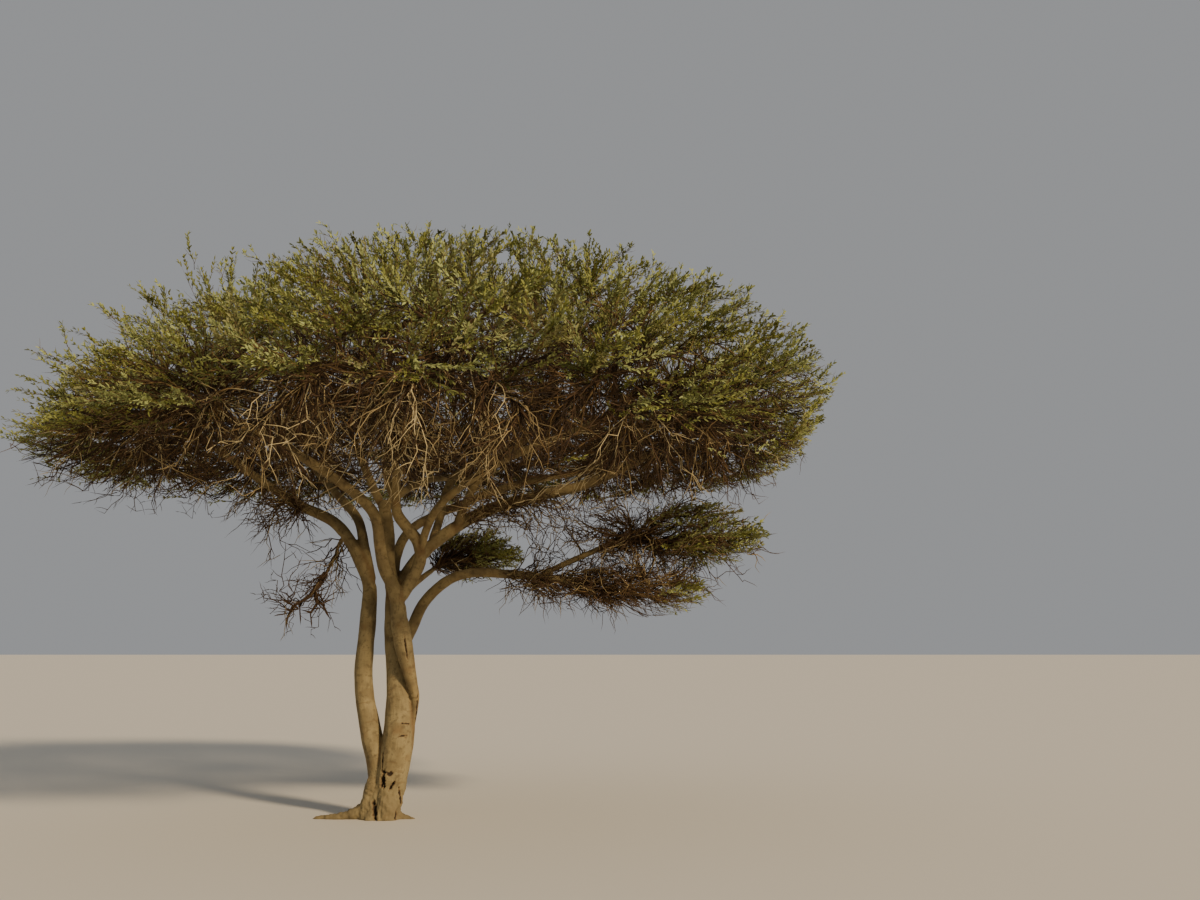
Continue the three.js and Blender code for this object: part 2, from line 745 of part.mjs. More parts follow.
// A thin bare twig that droops from a tip, or nothing where it wouldn't fit
function droopingTwig(tip, along, space, random) {
  const down = new THREE.Vector3(random() - 0.5, random() - 0.5, -0.5);
  const way = down.addScaledVector(along, 0.7).normalize();
  const root = tip.clone().addScaledVector(along, -FAN_SINK);
  const reach = root.clone().addScaledVector(way, BARE_LENGTH * (0.7 + 0.5 * random()));
  const twig = { points: [root, reach], radii: [BARE_RADIUS * 0.55, BARE_RADIUS * 0.5] };
  return space.holds(reach, WALL_CLEARANCE) && clearOfLimbs(twig, null) ? twigSolid(twig) : null;
}

function buildMass(mass) {
  const random = randomFrom(mass.seed);
  const start = startOf(mass);
  mass.entry = start.point.clone();
  const space = mass.half ? eggSpace(mass) : crownSpace(mass);
  const tips = [
    ...chooseTips(space, random, mass.tips, space.leafy, TIP_MARGIN).map((point) => ({ point })),
    ...chooseTips(space, random, mass.bareTips, space.bare, BARE_MARGIN).map((point) => {
      return { point, bare: true };
    }),
  ];
  const stem = {
    points: [start.point, start.point.clone().addScaledVector(start.direction, 60)],
    radii: [radiusFor(tips.length), radiusFor(tips.length)],
    start: start.direction,
  };
  const twigs = [stem];
  grow(stem, tips, random, twigs);
  const solids = [];
  for (const twig of twigs) {
    if (!clearOfLimbs(twig, start.limb)) continue;
    solids.push(twigSolid(twig));
    const tip = twig.points.at(-1);
    const along = tip.clone().sub(twig.points.at(-2)).normalize();
    const end = twig.tip.bare
      ? droopingTwig(tip, along, space, random)
      : bestFan(tip, along, mass.fanLength, space, random);
    if (end) solids.push(end);
  }
  const whole = solids.reduce((sum, solid) => sum.add(solid)).simplify(SHORTEST_EDGE);
  return meshOf(mass.name, largestPiece(whole), mass.tips ? leaves : deadWood);
}

const tree = new THREE.Group();
tree.name = "umbrella_thorn_acacia";
for (const mesh of buildLimbs()) tree.add(mesh);
for (const mass of [...CROWN_MASSES, ...LOW_MASSES]) tree.add(buildMass(mass));

export default tree;
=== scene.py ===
# %% [markdown]
# An umbrella thorn acacia: two pale stems grown together at the foot, a third that twists up the front,
# and a wide flat crown of fine leaves over a tangle of bare twigs.
# The CAD model holds its limbs and sixteen coarse masses of twigs and fans. Here the limbs get one skin of
# real bark, and each mass is grown again by the same rule, down to its twigs and leaves.

import json

import bmesh
import bpy
import numpy as np
from mathutils import Matrix, Vector, noise

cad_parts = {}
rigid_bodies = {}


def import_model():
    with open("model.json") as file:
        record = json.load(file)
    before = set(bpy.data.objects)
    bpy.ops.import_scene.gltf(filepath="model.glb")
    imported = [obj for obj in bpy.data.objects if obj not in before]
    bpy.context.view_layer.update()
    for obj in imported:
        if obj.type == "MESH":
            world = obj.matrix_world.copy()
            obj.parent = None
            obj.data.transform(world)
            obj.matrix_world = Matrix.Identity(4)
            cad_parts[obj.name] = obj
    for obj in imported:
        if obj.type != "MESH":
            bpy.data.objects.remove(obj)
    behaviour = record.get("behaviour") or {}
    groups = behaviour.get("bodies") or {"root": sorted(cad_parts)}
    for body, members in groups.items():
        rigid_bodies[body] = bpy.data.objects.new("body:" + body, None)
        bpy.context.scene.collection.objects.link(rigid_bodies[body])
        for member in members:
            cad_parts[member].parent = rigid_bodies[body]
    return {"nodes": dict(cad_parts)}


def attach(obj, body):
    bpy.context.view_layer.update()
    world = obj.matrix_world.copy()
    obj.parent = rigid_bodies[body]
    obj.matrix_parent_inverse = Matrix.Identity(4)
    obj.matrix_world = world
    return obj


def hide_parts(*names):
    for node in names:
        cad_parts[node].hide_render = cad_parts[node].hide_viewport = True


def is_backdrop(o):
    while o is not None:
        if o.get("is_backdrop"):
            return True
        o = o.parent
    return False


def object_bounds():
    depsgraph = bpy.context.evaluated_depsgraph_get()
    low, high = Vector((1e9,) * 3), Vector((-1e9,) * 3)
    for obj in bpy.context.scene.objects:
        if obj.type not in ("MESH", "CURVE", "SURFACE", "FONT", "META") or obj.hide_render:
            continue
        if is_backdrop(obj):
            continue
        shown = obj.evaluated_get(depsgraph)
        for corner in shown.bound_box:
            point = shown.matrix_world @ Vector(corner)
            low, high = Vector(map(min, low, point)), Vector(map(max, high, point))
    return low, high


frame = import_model()
cad_low, cad_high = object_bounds()
box = [[round(v, 3) for v in corner] for corner in (cad_low, cad_high)]
print(len(frame["nodes"]), "nodes, in a box in metres", box)

# %% [markdown]
# Lengths below are in millimetres, as in the CAD source, because a twig of 9 mm is easier to picture than
# one of 0.009 m. A mesh is turned to metres only when it is made.


# %% Small helpers
MM = 0.001


def size_of(v):
    return np.linalg.norm(v, axis=-1, keepdims=True)


def unit(v):
    return v / np.maximum(size_of(v), 1e-9)


def across(v, other):
    """The way square to v and to the other way"""
    return unit(np.cross(v, other))


def placed(name, data):
    """A new object, put into the scene"""
    made = bpy.data.objects.new(name, data)
    bpy.context.collection.objects.link(made)
    return made


print("a unit of", unit(np.array([3.0, 0.0, 4.0])))

# %% [markdown]
# A tree is random, but it has to grow the same on every run, and the masses have to grow as they do in the
# CAD source. So the numbers come from a small seeded generator that both share. It counts upwards and
# scrambles the count, which lets numpy draw thousands at once.

# %% Seeded numbers
WORD = np.uint64(0xFFFFFFFF)


def scramble(a, b):
    return (a * b) & WORD


class Dice:
    """Seeded numbers from 0 to 1, the same as the source's"""

    def __init__(self, seed):
        self.seed = np.uint64(seed)
        self.thrown = 0

    def look(self, count):
        """The next numbers, without using them up"""
        steps = np.arange(self.thrown + 1, self.thrown + count + 1, dtype=np.uint64)
        state = (self.seed + steps * np.uint64(0x6D2B79F5)) & WORD
        t = scramble(state ^ (state >> np.uint64(15)), state | np.uint64(1))
        t = t ^ ((t + scramble(t ^ (t >> np.uint64(7)), t | np.uint64(61))) & WORD)
        return (t ^ (t >> np.uint64(14))) / 4294967296

    def throw(self, count):
        numbers = self.look(count)
        self.thrown += count
        return numbers


print("first throws of seed 11:", Dice(11).throw(3).round(4))

# %% [markdown]
# Limbs are tubes along smooth routes. A centripetal Catmull-Rom curve runs through every point that it is
# given and doesn't overshoot, which suits a branch that is drawn by a handful of points. It is read by its
# share of the whole length, so even shares give even steps.


# %% Smooth routes
class Course:
    def __init__(self, route):
        points = np.array(route, float)
        ends = 2 * points[0] - points[1], 2 * points[-1] - points[-2]
        self.points = np.vstack([ends[0], points, ends[1]])
        self.spans = len(points) - 1
        self.marks = np.linspace(0, 1, 201)
        steps = size_of(np.diff(self.at(self.marks), axis=0)).ravel()
        self.lengths = np.concatenate([[0], np.cumsum(steps)])

    def at(self, time):
        place = np.asarray(time, float) * self.spans
        span = np.minimum(place.astype(int), self.spans - 1)
        w = (place - span)[..., None]
        p0, p1, p2, p3 = (self.points[span + i] for i in range(4))
        d0, d1, d2 = (size_of(b - a) ** 0.5 for a, b in ((p0, p1), (p1, p2), (p2, p3)))
        leave = ((p1 - p0) / d0 - (p2 - p0) / (d0 + d1) + (p2 - p1) / d1) * d1
        arrive = ((p2 - p1) / d1 - (p3 - p1) / (d1 + d2) + (p3 - p2) / d2) * d1
        square = 3 * (p2 - p1) - 2 * leave - arrive
        return p1 + w * leave + w**2 * square + w**3 * (2 * (p1 - p2) + leave + arrive)

    def time(self, share):
        return np.interp(np.asarray(share) * self.lengths[-1], self.lengths, self.marks)

    def point(self, share):
        return self.at(self.time(share))

    def along(self, share):
        time = self.time(share)
        return unit(self.at(np.minimum(time + 1e-4, 1)) - self.at(np.maximum(time - 1e-4, 0)))


def radius_along(radii, share):
    return np.interp(share, np.linspace(0, 1, len(radii)), radii)


print("a course of 300 mm:", Course([(0, 0, 0), (0, 0, 100), (0, 0, 300)]).lengths[-1].round(3))

# %% [markdown]
# The crown is a dome with a flat top. Eight masses stand round its rim and four round its axis, and each
# owns the part that is nearest to it. These are the source's own numbers.

# %% The crown's dome
CROWN_CENTRE = np.array([430.0, 0.0])
CROWN_HALF = np.array([3740.0, 3550.0])
CROWN_TOP = 5220
CROWN_RIM = 3500
CROWN_TILT = 450
DOME_ROUNDNESS = 2.3
DOME_FLATNESS = 0.6
RIM_CURL = 14


def crown_point(azimuth, share, height):
    turn = np.radians(azimuth)
    level = CROWN_CENTRE + share * CROWN_HALF * np.array([np.cos(turn), np.sin(turn)])
    return np.array([*level, height])


def crown_share(p, inset=0):
    return np.linalg.norm((p[..., :2] - CROWN_CENTRE) / (CROWN_HALF - inset), axis=-1)


def crown_rim(p):
    return CROWN_RIM + CROWN_TILT * (p[..., 0] - CROWN_CENTRE[0]) / CROWN_HALF[0]


def in_dome(p, inset, lift):
    share = crown_share(p, inset)
    fall = np.maximum(0, 1 - share**DOME_ROUNDNESS) ** DOME_FLATNESS
    rim = crown_rim(p)
    return (share < 1) & (p[..., 2] < rim + (CROWN_TOP + lift - inset - rim) * fall)


def crown_under(p, under):
    return under + np.maximum(0, crown_rim(p) - under) * np.minimum(1, crown_share(p)) ** RIM_CURL


print("the dome's rim at its middle is at", crown_rim(np.array([*CROWN_CENTRE, 0.0])), "mm")

# %% The crown's masses
# Each mass: the azimuth where it stands, how far its part of the dome is raised, how low its twigs hang,
# the height where its leaves begin, and its seed
OUTER = {
    "foliage_right": (0, 0, 3060, 3330, 11),
    "foliage_back_right": (45, 0, 3100, 3330, 12),
    "foliage_back": (90, 0, 3100, 3330, 13),
    "foliage_back_left": (135, 150, 3080, 3330, 14),
    "foliage_left": (180, 200, 3040, 3330, 15),
    "foliage_front_left": (225, -330, 2960, 3330, 16),
    "foliage_front": (270, -40, 2760, 3520, 17),
    "foliage_front_right": (315, 0, 2860, 3420, 18),
}
INNER = {
    "foliage_inner_right": (340, 40, 3250, 3600, 21),
    "foliage_inner_back": (70, 60, 3300, 3600, 22),
    "foliage_inner_left": (160, 80, 3300, 3600, 23),
    "foliage_inner_front": (250, 20, 3100, 3600, 24),
}
masses = {}
for ring, centre_share, entry_share, entry_height, sizes in (
    (OUTER, 0.76, 0.57, 3430, dict(fan=760, tips=11, bare_tips=4)),
    (INNER, 0.33, 0.24, 3480, dict(fan=720, tips=9, bare_tips=3)),
):
    for name, (azimuth, *own) in ring.items():
        masses[name] = dict(zip(("lift", "under", "leaves_above", "seed"), own), **sizes)
        masses[name]["centre"] = crown_point(azimuth, centre_share, 0)
        masses[name]["entry"] = crown_point(azimuth, entry_share, entry_height)
crown_names = list(masses)
print("masses in the crown:", *crown_names)

# %% The lower masses
# Each lower mass: its limb, the centre and half sizes of its egg, the share of it that stays bare, how many
# leafy tips and bare tips it has, and its seed
LOW = {
    "foliage_low_right_upper": ("branch_low_right_upper", (2720, -20, 2600), (840, 580, 330), 0.5, 10, 4, 31),
    "foliage_low_right_lower": ("branch_low_right", (2210, -80, 2060), (800, 560, 255), 0.75, 6, 6, 32),
    "foliage_back_low": ("branch_back_low", (640, 1230, 2500), (520, 460, 300), 0.35, 6, 2, 33),
    "dead_twigs_left": ("branch_dead_left", (-850, 60, 2040), (480, 400, 480), 9, 0, 13, 34),
}
for name, (limb, centre, half, *own) in LOW.items():
    masses[name] = dict(zip(("leaves_from", "tips", "bare_tips", "seed"), own), limb=limb, fan=430)
    masses[name].update(centre=np.array(centre, float), half=np.array(half, float))
print("masses below the crown:", *LOW)

# %% [markdown]
# The limbs, each by the points that it runs through, its radii at even steps, and the mass that it feeds.
# A limb starts inside the one that it grows from, so no gap can open where they join.

# %% Stems
STEMS = {
    "stem_left": (
        [(-72, 20, -60), (-62, 12, 380), (-133, 0, 700), (-205, 20, 1020), (-245, 50, 1290),
         (-225, 95, 1750), (-205, 100, 2230)],
        [112, 100, 102, 88, 84, 77, 68], None,
    ),
    "stem_right": (
        [(0, -25, -60), (66, -35, 400), (114, -45, 740), (122, -30, 1060), (66, 25, 1400), (22, 75, 1700),
         (5, 125, 2120)],
        [112, 142, 150, 138, 96, 84, 72], None,
    ),
    "stem_front": (
        [(262, -100, 1110), (238, -135, 1225), (214, -155, 1330), (176, -172, 1490), (144, -178, 1660),
         (106, -170, 1850), (98, -160, 1990)],
        [30, 50, 68, 86, 86, 80, 70], None,
    ),
}
print("stems:", *STEMS)

# %% Boughs of the crown
CROWN_BOUGHS = {
    "bough_front_left": (
        [(94, -162, 1960), (50, -200, 2120), (-25, -235, 2270), (-62, -275, 2470), (-100, -350, 2740),
         (-190, -440, 2870), (-480, -690, 3100), (-810, -1030, 3300)],
        [62, 56, 52, 46, 44, 42, 37], "foliage_front_left",
    ),
    "bough_front_lower": (
        [(100, -155, 1975), (150, -140, 2060), (215, -120, 2180), (288, -100, 2360), (262, -115, 2530),
         (165, -165, 2660), (85, -235, 2780), (80, -330, 2900)],
        [58, 60, 60, 58, 56, 54, 50, 48], None,
    ),
    "bough_front": ([(80, -325, 2885), (110, -520, 3040), (210, -1180, 3260)], [42, 38, 34], "foliage_front"),
    "bough_inner_front": ([(70, -330, 2900), (0, -420, 3150)], [40, 36], "foliage_inner_front"),
    "bough_front_right": (
        [(285, -105, 2400), (345, -190, 2620), (520, -430, 2860), (1080, -900, 3170)],
        [40, 38, 36, 34], "foliage_front_right",
    ),
    "bough_middle": (
        [(0, 115, 2080), (-25, 80, 2280), (-35, 60, 2470), (-60, 45, 2700), (-85, 20, 2890)],
        [62, 56, 60, 66, 62], None,
    ),
    "bough_back": ([(-80, 30, 2840), (-30, 420, 3020), (150, 1150, 3270)], [44, 40, 36], "foliage_back"),
    "bough_inner_left": ([(-90, 30, 2850), (-210, 60, 3080)], [42, 38], "foliage_inner_left"),
    "bough_back_right": (
        [(5, 140, 2100), (10, 240, 2420), (110, 400, 2680), (600, 760, 2990), (1100, 1080, 3220)],
        [50, 46, 42, 38, 34], "foliage_back_right",
    ),
    "bough_right": (
        [(15, 100, 2060), (110, 165, 2220), (245, 215, 2420), (440, 280, 2610), (830, 360, 2860),
         (1300, 370, 3000), (1850, 300, 3130)],
        [66, 64, 62, 58, 52, 46, 40], "foliage_right",
    ),
    "bough_inner_right": (
        [(560, 300, 2680), (690, 180, 2960), (880, 0, 3230)], [42, 40, 38], "foliage_inner_right",
    ),
    "bough_inner_back": (
        [(330, 245, 2500), (400, 400, 2800), (470, 560, 3160)], [42, 40, 38], "foliage_inner_back",
    ),
    "bough_left": (
        [(-222, 98, 2150), (-310, 120, 2355), (-420, 160, 2545), (-590, 215, 2740), (-960, 270, 2920),
         (-1380, 230, 3190)],
        [64, 60, 56, 50, 44, 40, 36], "foliage_left",
    ),
    "bough_back_left": (
        [(-208, 110, 2180), (-290, 170, 2500), (-380, 330, 2760), (-700, 800, 3080)],
        [54, 48, 44, 40, 36], "foliage_back_left",
    ),
}
print("boughs:", *CROWN_BOUGHS)

# %% Lower branches
LOW_BRANCHES = {
    "branch_low_right": (
        [(120, 70, 1560), (190, 95, 1720), (290, 85, 1945), (430, 60, 2100), (580, 35, 2200), (790, 18, 2248),
         (1150, -8, 2228), (1500, -38, 2195), (1700, -65, 2150)],
        [52, 54, 52, 49, 46, 44, 42, 38, 34], None,
    ),
    "branch_low_right_upper": (
        [(1400, -28, 2210), (1560, -30, 2290), (1770, -20, 2385), (1960, 10, 2470)], [26, 30, 29, 27], None,
    ),
    "branch_back_low": ([(20, 150, 1960), (130, 420, 2130), (290, 850, 2330)], [38, 34, 24], None),
    "branch_dead_left": (
        [(-480, 175, 2620), (-545, 200, 2520), (-575, 190, 2400), (-650, 150, 2250)], [20, 19, 18, 15], None,
    ),
}
LIMBS = {**STEMS, **CROWN_BOUGHS, **LOW_BRANCHES}
courses = {}
for name, (route, radii, into) in LIMBS.items():
    courses[name] = Course(route + [tuple(masses[into]["entry"])] if into else route)
    if into:
        masses[into]["limb"] = name
print("limbs run for", round(sum(c.lengths[-1] for c in courses.values()) * MM, 1), "m in all")

# %% [markdown]
# A twig must not cut through a limb. Points along every limb, each with the limb's radius there, are
# enough to tell: a line that passes too near to one of them touches that limb. The tip of its own limb
# doesn't count.

# %% Keeping clear of the limbs
LIMB_CLEARANCE = 12
OWN_TIP_SHARE = 0.8
shares = np.linspace(0, 1, 29)
limb_points = np.vstack([courses[name].point(shares) for name in LIMBS])
limb_radii = np.concatenate([radius_along(LIMBS[name][1], shares) for name in LIMBS])
limb_names = np.repeat(list(LIMBS), len(shares))
limb_shares = np.tile(shares, len(LIMBS))


def touches_limb(starts, ends, radius, own=None):
    """For each line from a start to an end, whether it comes too near to a limb"""
    line = ends - starts
    reach = limb_points - starts[:, None]
    share = np.clip(np.einsum("nsk,nk->ns", reach, line) / np.sum(line**2, axis=1)[:, None], 0, 1)
    gap = np.linalg.norm(reach - share[..., None] * line[:, None], axis=2)
    near = gap < limb_radii + np.reshape(radius, (-1, 1)) + LIMB_CLEARANCE
    if own:
        near &= ~((limb_names == own) & (limb_shares > OWN_TIP_SHARE))
    return near.any(axis=1)


print(len(limb_points), "points keep twigs clear of the limbs")

# %% [markdown]
# Each mass has a space of its own: a part of the crown, or an egg below it. The space answers whether it
# holds a point, where leaves grow in it, where bare twigs do, and which way is outwards.

# %% The space of a mass in the crown
SHELL_OUTSIDE = 340
SHELL_INSIDE = 800
BARE_DEPTH = 520
BARE_SHARE = 0.86
LEAF_DROOP = 120


class CrownSpace:
    def __init__(self, name):
        self.mass = masses[name]
        others = [masses[other]["centre"] for other in crown_names if other != name]
        self.normals = unit(self.mass["centre"] - np.array(others))
        self.offsets = np.sum(self.normals * (self.mass["centre"] + np.array(others)) / 2, axis=1)
        half = np.array([*CROWN_HALF, 0])
        self.low = np.array([*CROWN_CENTRE, self.mass["under"]]) - half
        self.high = np.array([*CROWN_CENTRE, CROWN_TOP + self.mass["lift"]]) + half
        self.leaf_floor = self.mass["leaves_above"] - LEAF_DROOP

    def outward(self, p):
        away = unit(p - self.mass["entry"] + np.array([0, 0, 350]))
        level = np.zeros_like(p)
        level[..., :2] = (p[..., :2] - CROWN_CENTRE) / CROWN_HALF[0]
        return unit((away + level * 0.25) * np.array([1, 1, 0.5]))

    def holds(self, p, clearance, proud=0):
        above = p[..., 2] > crown_under(p, self.mass["under"]) - proud
        inside = np.all(p @ self.normals.T - self.offsets > clearance, axis=-1)
        return above & inside & in_dome(p, -proud, self.mass["lift"])

    def leafy(self, p):
        lift = self.mass["lift"]
        shell = in_dome(p, SHELL_OUTSIDE, lift) & ~in_dome(p, SHELL_INSIDE, lift)
        return (p[..., 2] > self.mass["leaves_above"]) & shell

    def bare(self, p):
        low = p[..., 2] < crown_under(p, self.mass["under"]) + BARE_DEPTH
        return low & (crown_share(p) < BARE_SHARE)


print("foliage_front has room above", CrownSpace("foliage_front").low[2], "mm")


# %% The space of a lower mass
class EggSpace:
    def __init__(self, name):
        self.mass = masses[name]
        self.low = self.mass["centre"] - self.mass["half"]
        self.high = self.mass["centre"] + self.mass["half"]
        self.leaf_floor = self.low[2]

    def reach(self, p):
        return np.linalg.norm((p - self.mass["centre"]) / self.mass["half"], axis=-1)

    def outward(self, p):
        return unit(p - self.mass["entry"])

    def holds(self, p, clearance, proud=0):
        return self.reach(p) < 1 + proud / self.mass["half"][2]

    def leafy(self, p):
        away = size_of(p - self.mass["entry"])[..., 0]
        return (self.reach(p) < 0.62) & (away > self.mass["half"][0] * self.mass["leaves_from"])

    def bare(self, p):
        return (self.reach(p) < 0.8) & (p[..., 2] < self.mass["centre"][2])


print("foliage_back_low has room above", EggSpace("foliage_back_low").low[2], "mm")

# %% [markdown]
# The growth rule. Tips are strewn through the space, each as far from the rest as it can be found. A twig
# heads for the middle of the tips that it feeds, forks on the way, goes on to the larger group, and a new
# twig starts towards the other. The radius of a twig follows how many tips it feeds, as a pipe that feeds
# more taps is wider.

# %% Tips strewn through a space
TIPS_TRIED = 60
MOST_TRIES = 12000
TIP_MARGIN = 165
BARE_MARGIN = 40


def choose_tips(space, dice, count, wanted, margin):
    tips = np.empty((0, 3))
    while len(tips) < count:
        tried = space.low + dice.look(3 * MOST_TRIES).reshape(-1, 3) * (space.high - space.low)
        good = np.flatnonzero(space.holds(tried, margin) & wanted(tried))[:TIPS_TRIED]
        dice.thrown += 3 * (good[-1] + 1 if len(good) == TIPS_TRIED else MOST_TRIES)
        apart = np.min([size_of(tried[good] - tip)[:, 0] for tip in tips], axis=0) if len(tips) else [0]
        tips = np.vstack([tips, tried[good[np.argmax(apart)]]])
    return tips


print("each tip is the furthest from the rest of up to", TIPS_TRIED)

# %% Twigs that fork towards their tips
TIP_RADIUS = 9
PIPE_POWER = 0.46
FORK_SHARE = 0.42
WANDER = 0.09


def radius_for(count):
    return TIP_RADIUS * count**PIPE_POWER


def furthest(point, points):
    return np.argmax(size_of(points - point)[:, 0])


def grow(twig, tips, dice, twigs):
    if len(tips) == 1:
        twig["points"].append(tips[0][0])
        twig["radii"].append(TIP_RADIUS * 0.8)
        twig["bare"] = tips[0][1]
        return
    points = np.array([tip[0] for tip in tips])
    start, middle = twig["points"][-1], points.mean(axis=0)
    wander = dice.throw(3) - 0.5
    fork = start + (middle - start) * FORK_SHARE + wander * size_of(middle - start) * WANDER
    twig["points"].append(fork)
    twig["radii"].append(radius_for(len(tips)) * 0.95)
    one = points[furthest(middle, points)]
    other = points[furthest(one, points)]
    nearer = (size_of(points - one) <= size_of(points - other))[:, 0]
    near = [tip for tip, is_near in zip(tips, nearer) if is_near]
    far = [tip for tip, is_near in zip(tips, nearer) if not is_near]
    larger, smaller = (near, far) if len(near) > len(far) else (far, near)
    grow(twig, larger, dice, twigs)
    radius = min(radius_for(len(smaller)), radius_for(len(tips)) * 0.5)
    side = dict(points=[fork], radii=[radius], parent=twig)
    twigs.append(side)
    grow(side, smaller, dice, twigs)


print("a twig that feeds ten tips is", round(2 * radius_for(10)), "mm thick")

# %% [markdown]
# At each leafy tip the source sets a fan of five rays. Here the same fans are planned with the same
# throws, so that their rays end where the CAD solid's do, and each ray then becomes a leafy shoot.

# %% Which way a fan spreads
FAN_ANGLES = np.radians(60) * np.array([-1, -0.5, 0, 0.5, 1])
RAYS = len(FAN_ANGLES)
FANS_TRIED = 12
FAN_THROWS = 25


def fan_turn(ways, throws):
    """The way round which a fan spreads: near upright, so that sprays lie in flat layers"""
    loose = np.column_stack([throws[:, :2] - 0.5, 0.6 + 0.4 * throws[:, 2]])
    loose -= np.sum(loose * ways, axis=1)[:, None] * ways
    return np.where(size_of(loose) > 0.1, unit(loose), [1.0, 0.0, 0.0])


print("a fan spreads over", round(np.degrees(np.ptp(FAN_ANGLES))), "degrees")

# %% The best of several fans
FAN_CRINKLE = 45
FAN_THICKNESS = 110
FAN_SINK = 60
RAYS_TRIED = 0.92 ** np.arange(16)
SHORTEST_RAY = 0.35
WALL_CLEARANCE = 9
CLEARLY_BETTER = 1.08


def best_fan(tip, along, longest, space, dice):
    """Of several fans, the one whose rays reach furthest in all: its turn and the ends of its rays"""
    throws = dice.throw(FAN_THROWS * FANS_TRIED).reshape(FANS_TRIED, FAN_THROWS)
    outward = space.outward(tip)
    outward = unit(outward + (along - outward) * 0.25)
    way = unit(outward + (throws[:, :3] - 0.5) * (2 * np.arange(FANS_TRIED) / FANS_TRIED)[:, None])
    turn = fan_turn(way, throws[:, 3:6])
    side = across(turn, way)
    root = tip - way * FAN_SINK

    def at(angle, distance, lift):
        angle, distance, lift = (
            np.broadcast_to(v, np.shape(distance))[..., None] for v in (angle, distance, lift)
        )
        flat = (slice(None),) + (None,) * (distance.ndim - 2)
        ways, sides, turns, roots = (v[flat] for v in (way, side, turn, root))
        return roots + ways * distance * np.cos(angle) + sides * distance * np.sin(angle) + turns * lift

    def fits(points):
        line_starts = np.broadcast_to(root.reshape(-1, *(1,) * (points.ndim - 2), 3), points.shape)
        hit = touches_limb(line_starts.reshape(-1, 3), points.reshape(-1, 3), FAN_THICKNESS / 3)
        free = (points[..., 2] > space.leaf_floor) & space.holds(points, WALL_CLEARANCE)
        return free & ~hit.reshape(points.shape[:-1])

    rays = throws[:, 6:21].reshape(FANS_TRIED, RAYS, 3)
    angle = FAN_ANGLES + (rays[..., 0] - 0.5) * 0.2
    lift = np.array([-1, 1, -1, 1, -1]) * FAN_CRINKLE * rays[..., 1]
    length = longest * (0.9 + 0.3 * rays[..., 2]) * (1 - 0.12 * np.abs(np.arange(RAYS) - 2))
    tries = length[..., None] * RAYS_TRIED
    ends = at(angle[..., None], tries, lift[..., None])
    stop = fits(ends) | (tries <= SHORTEST_RAY * longest)
    first = np.argmax(stop, axis=2)[..., None]
    length = np.take_along_axis(tries, first, 2)[..., 0]
    tips = at(angle, length, lift)
    notch = 0.62 * np.minimum(length[:, :-1], length[:, 1:])
    dents = at((angle[:, :-1] + angle[:, 1:]) / 2, notch, FAN_CRINKLE * (throws[:, 21:] - 0.5))
    shoulders = at(angle[:, [0, -1]] + np.array([-0.5, 0.5]), 0.42 * length[:, [0, -1]], 0)
    hub = np.repeat(0.2 * length.min(axis=1)[:, None], 2, axis=1)
    hubs = at(0, hub, np.array([0.5, -0.5]) * FAN_THICKNESS)
    whole = fits(np.concatenate([tips, dents, shoulders, hubs], axis=1)).all(axis=1)
    best, best_reach = None, 0
    for i in np.flatnonzero(whole):
        if length[i].sum() > best_reach * CLEARLY_BETTER:
            best, best_reach = i, length[i].sum()
    return None if best is None else dict(turn=turn[best], ends=tips[best])


print("each fan is the best of", FANS_TRIED)


# %% Grow every mass as the source does
GAP = 0.35
FIRST_STEP = 60


def frame_of(name):
    """Grows a mass: its twigs, each with a fan of rays or a bare end"""
    mass, dice = masses[name], Dice(masses[name]["seed"])
    limb = courses[mass["limb"]]
    direction = limb.along(1.0)
    start = limb.point(1.0) + direction * GAP
    mass["entry"] = start
    space = EggSpace(name) if "half" in mass else CrownSpace(name)
    leafy = choose_tips(space, dice, mass["tips"], space.leafy, TIP_MARGIN)
    bare = choose_tips(space, dice, mass["bare_tips"], space.bare, BARE_MARGIN)
    tips = [(tip, False) for tip in leafy] + [(tip, True) for tip in bare]
    radii = [radius_for(len(tips))] * 2
    stem = dict(points=[start, start + direction * FIRST_STEP], radii=radii, parent=None)
    twigs = [stem]
    grow(stem, tips, dice, twigs)
    for twig in twigs:
        points = np.array(twig["points"])
        hit = touches_limb(points[:-1], points[1:], twig["radii"][:-1], mass["limb"]).any()
        twig["kept"] = not hit and (twig["parent"] is None or twig["parent"]["kept"])
        if hit:
            continue
        along = unit(points[-1] - points[-2])
        if twig["bare"]:
            # The thin end that the source hangs here takes three throws; finer twigs take its place.
            dice.throw(3)
        else:
            twig["fan"] = best_fan(points[-1], along, mass["fan"], space, dice)
    return space, [twig for twig in twigs if twig["kept"]]


skeletons = {name: frame_of(name) for name in masses}
for name, (space, twigs) in skeletons.items():
    print(name, "has", len(twigs), "twigs and", sum(bool(twig.get("fan")) for twig in twigs), "fans")

# %% [markdown]
# From here on the tree grows finer than the CAD. Thousands of twigs and leaves would be slow to model one
# by one, and each is only a few triangles, so they are worked out as arrays and joined into one mesh for
# each mass. A twig is a thin closed tube that ends in a point, with three or four sides, because in the
# render it is a pixel wide.


# %% Twigs as tubes
def chords(paths):
    return unit(paths[:, -1] - paths[:, 0])


def upright_or_level(ways, limit):
    """A way that isn't along the given ones: upright, or level where they are steeper than the limit"""
    return np.where(np.abs(ways[:, 2:]) < limit, [[0.0, 0.0, 1.0]], [[1.0, 0.0, 0.0]])


def joined(vertices, triangles):
    """Many alike shapes as one list of vertices and one of triangles"""
    starts = np.arange(len(vertices))[:, None, None] * vertices.shape[1]
    return vertices.reshape(-1, 3), (triangles + starts).reshape(-1, 3)


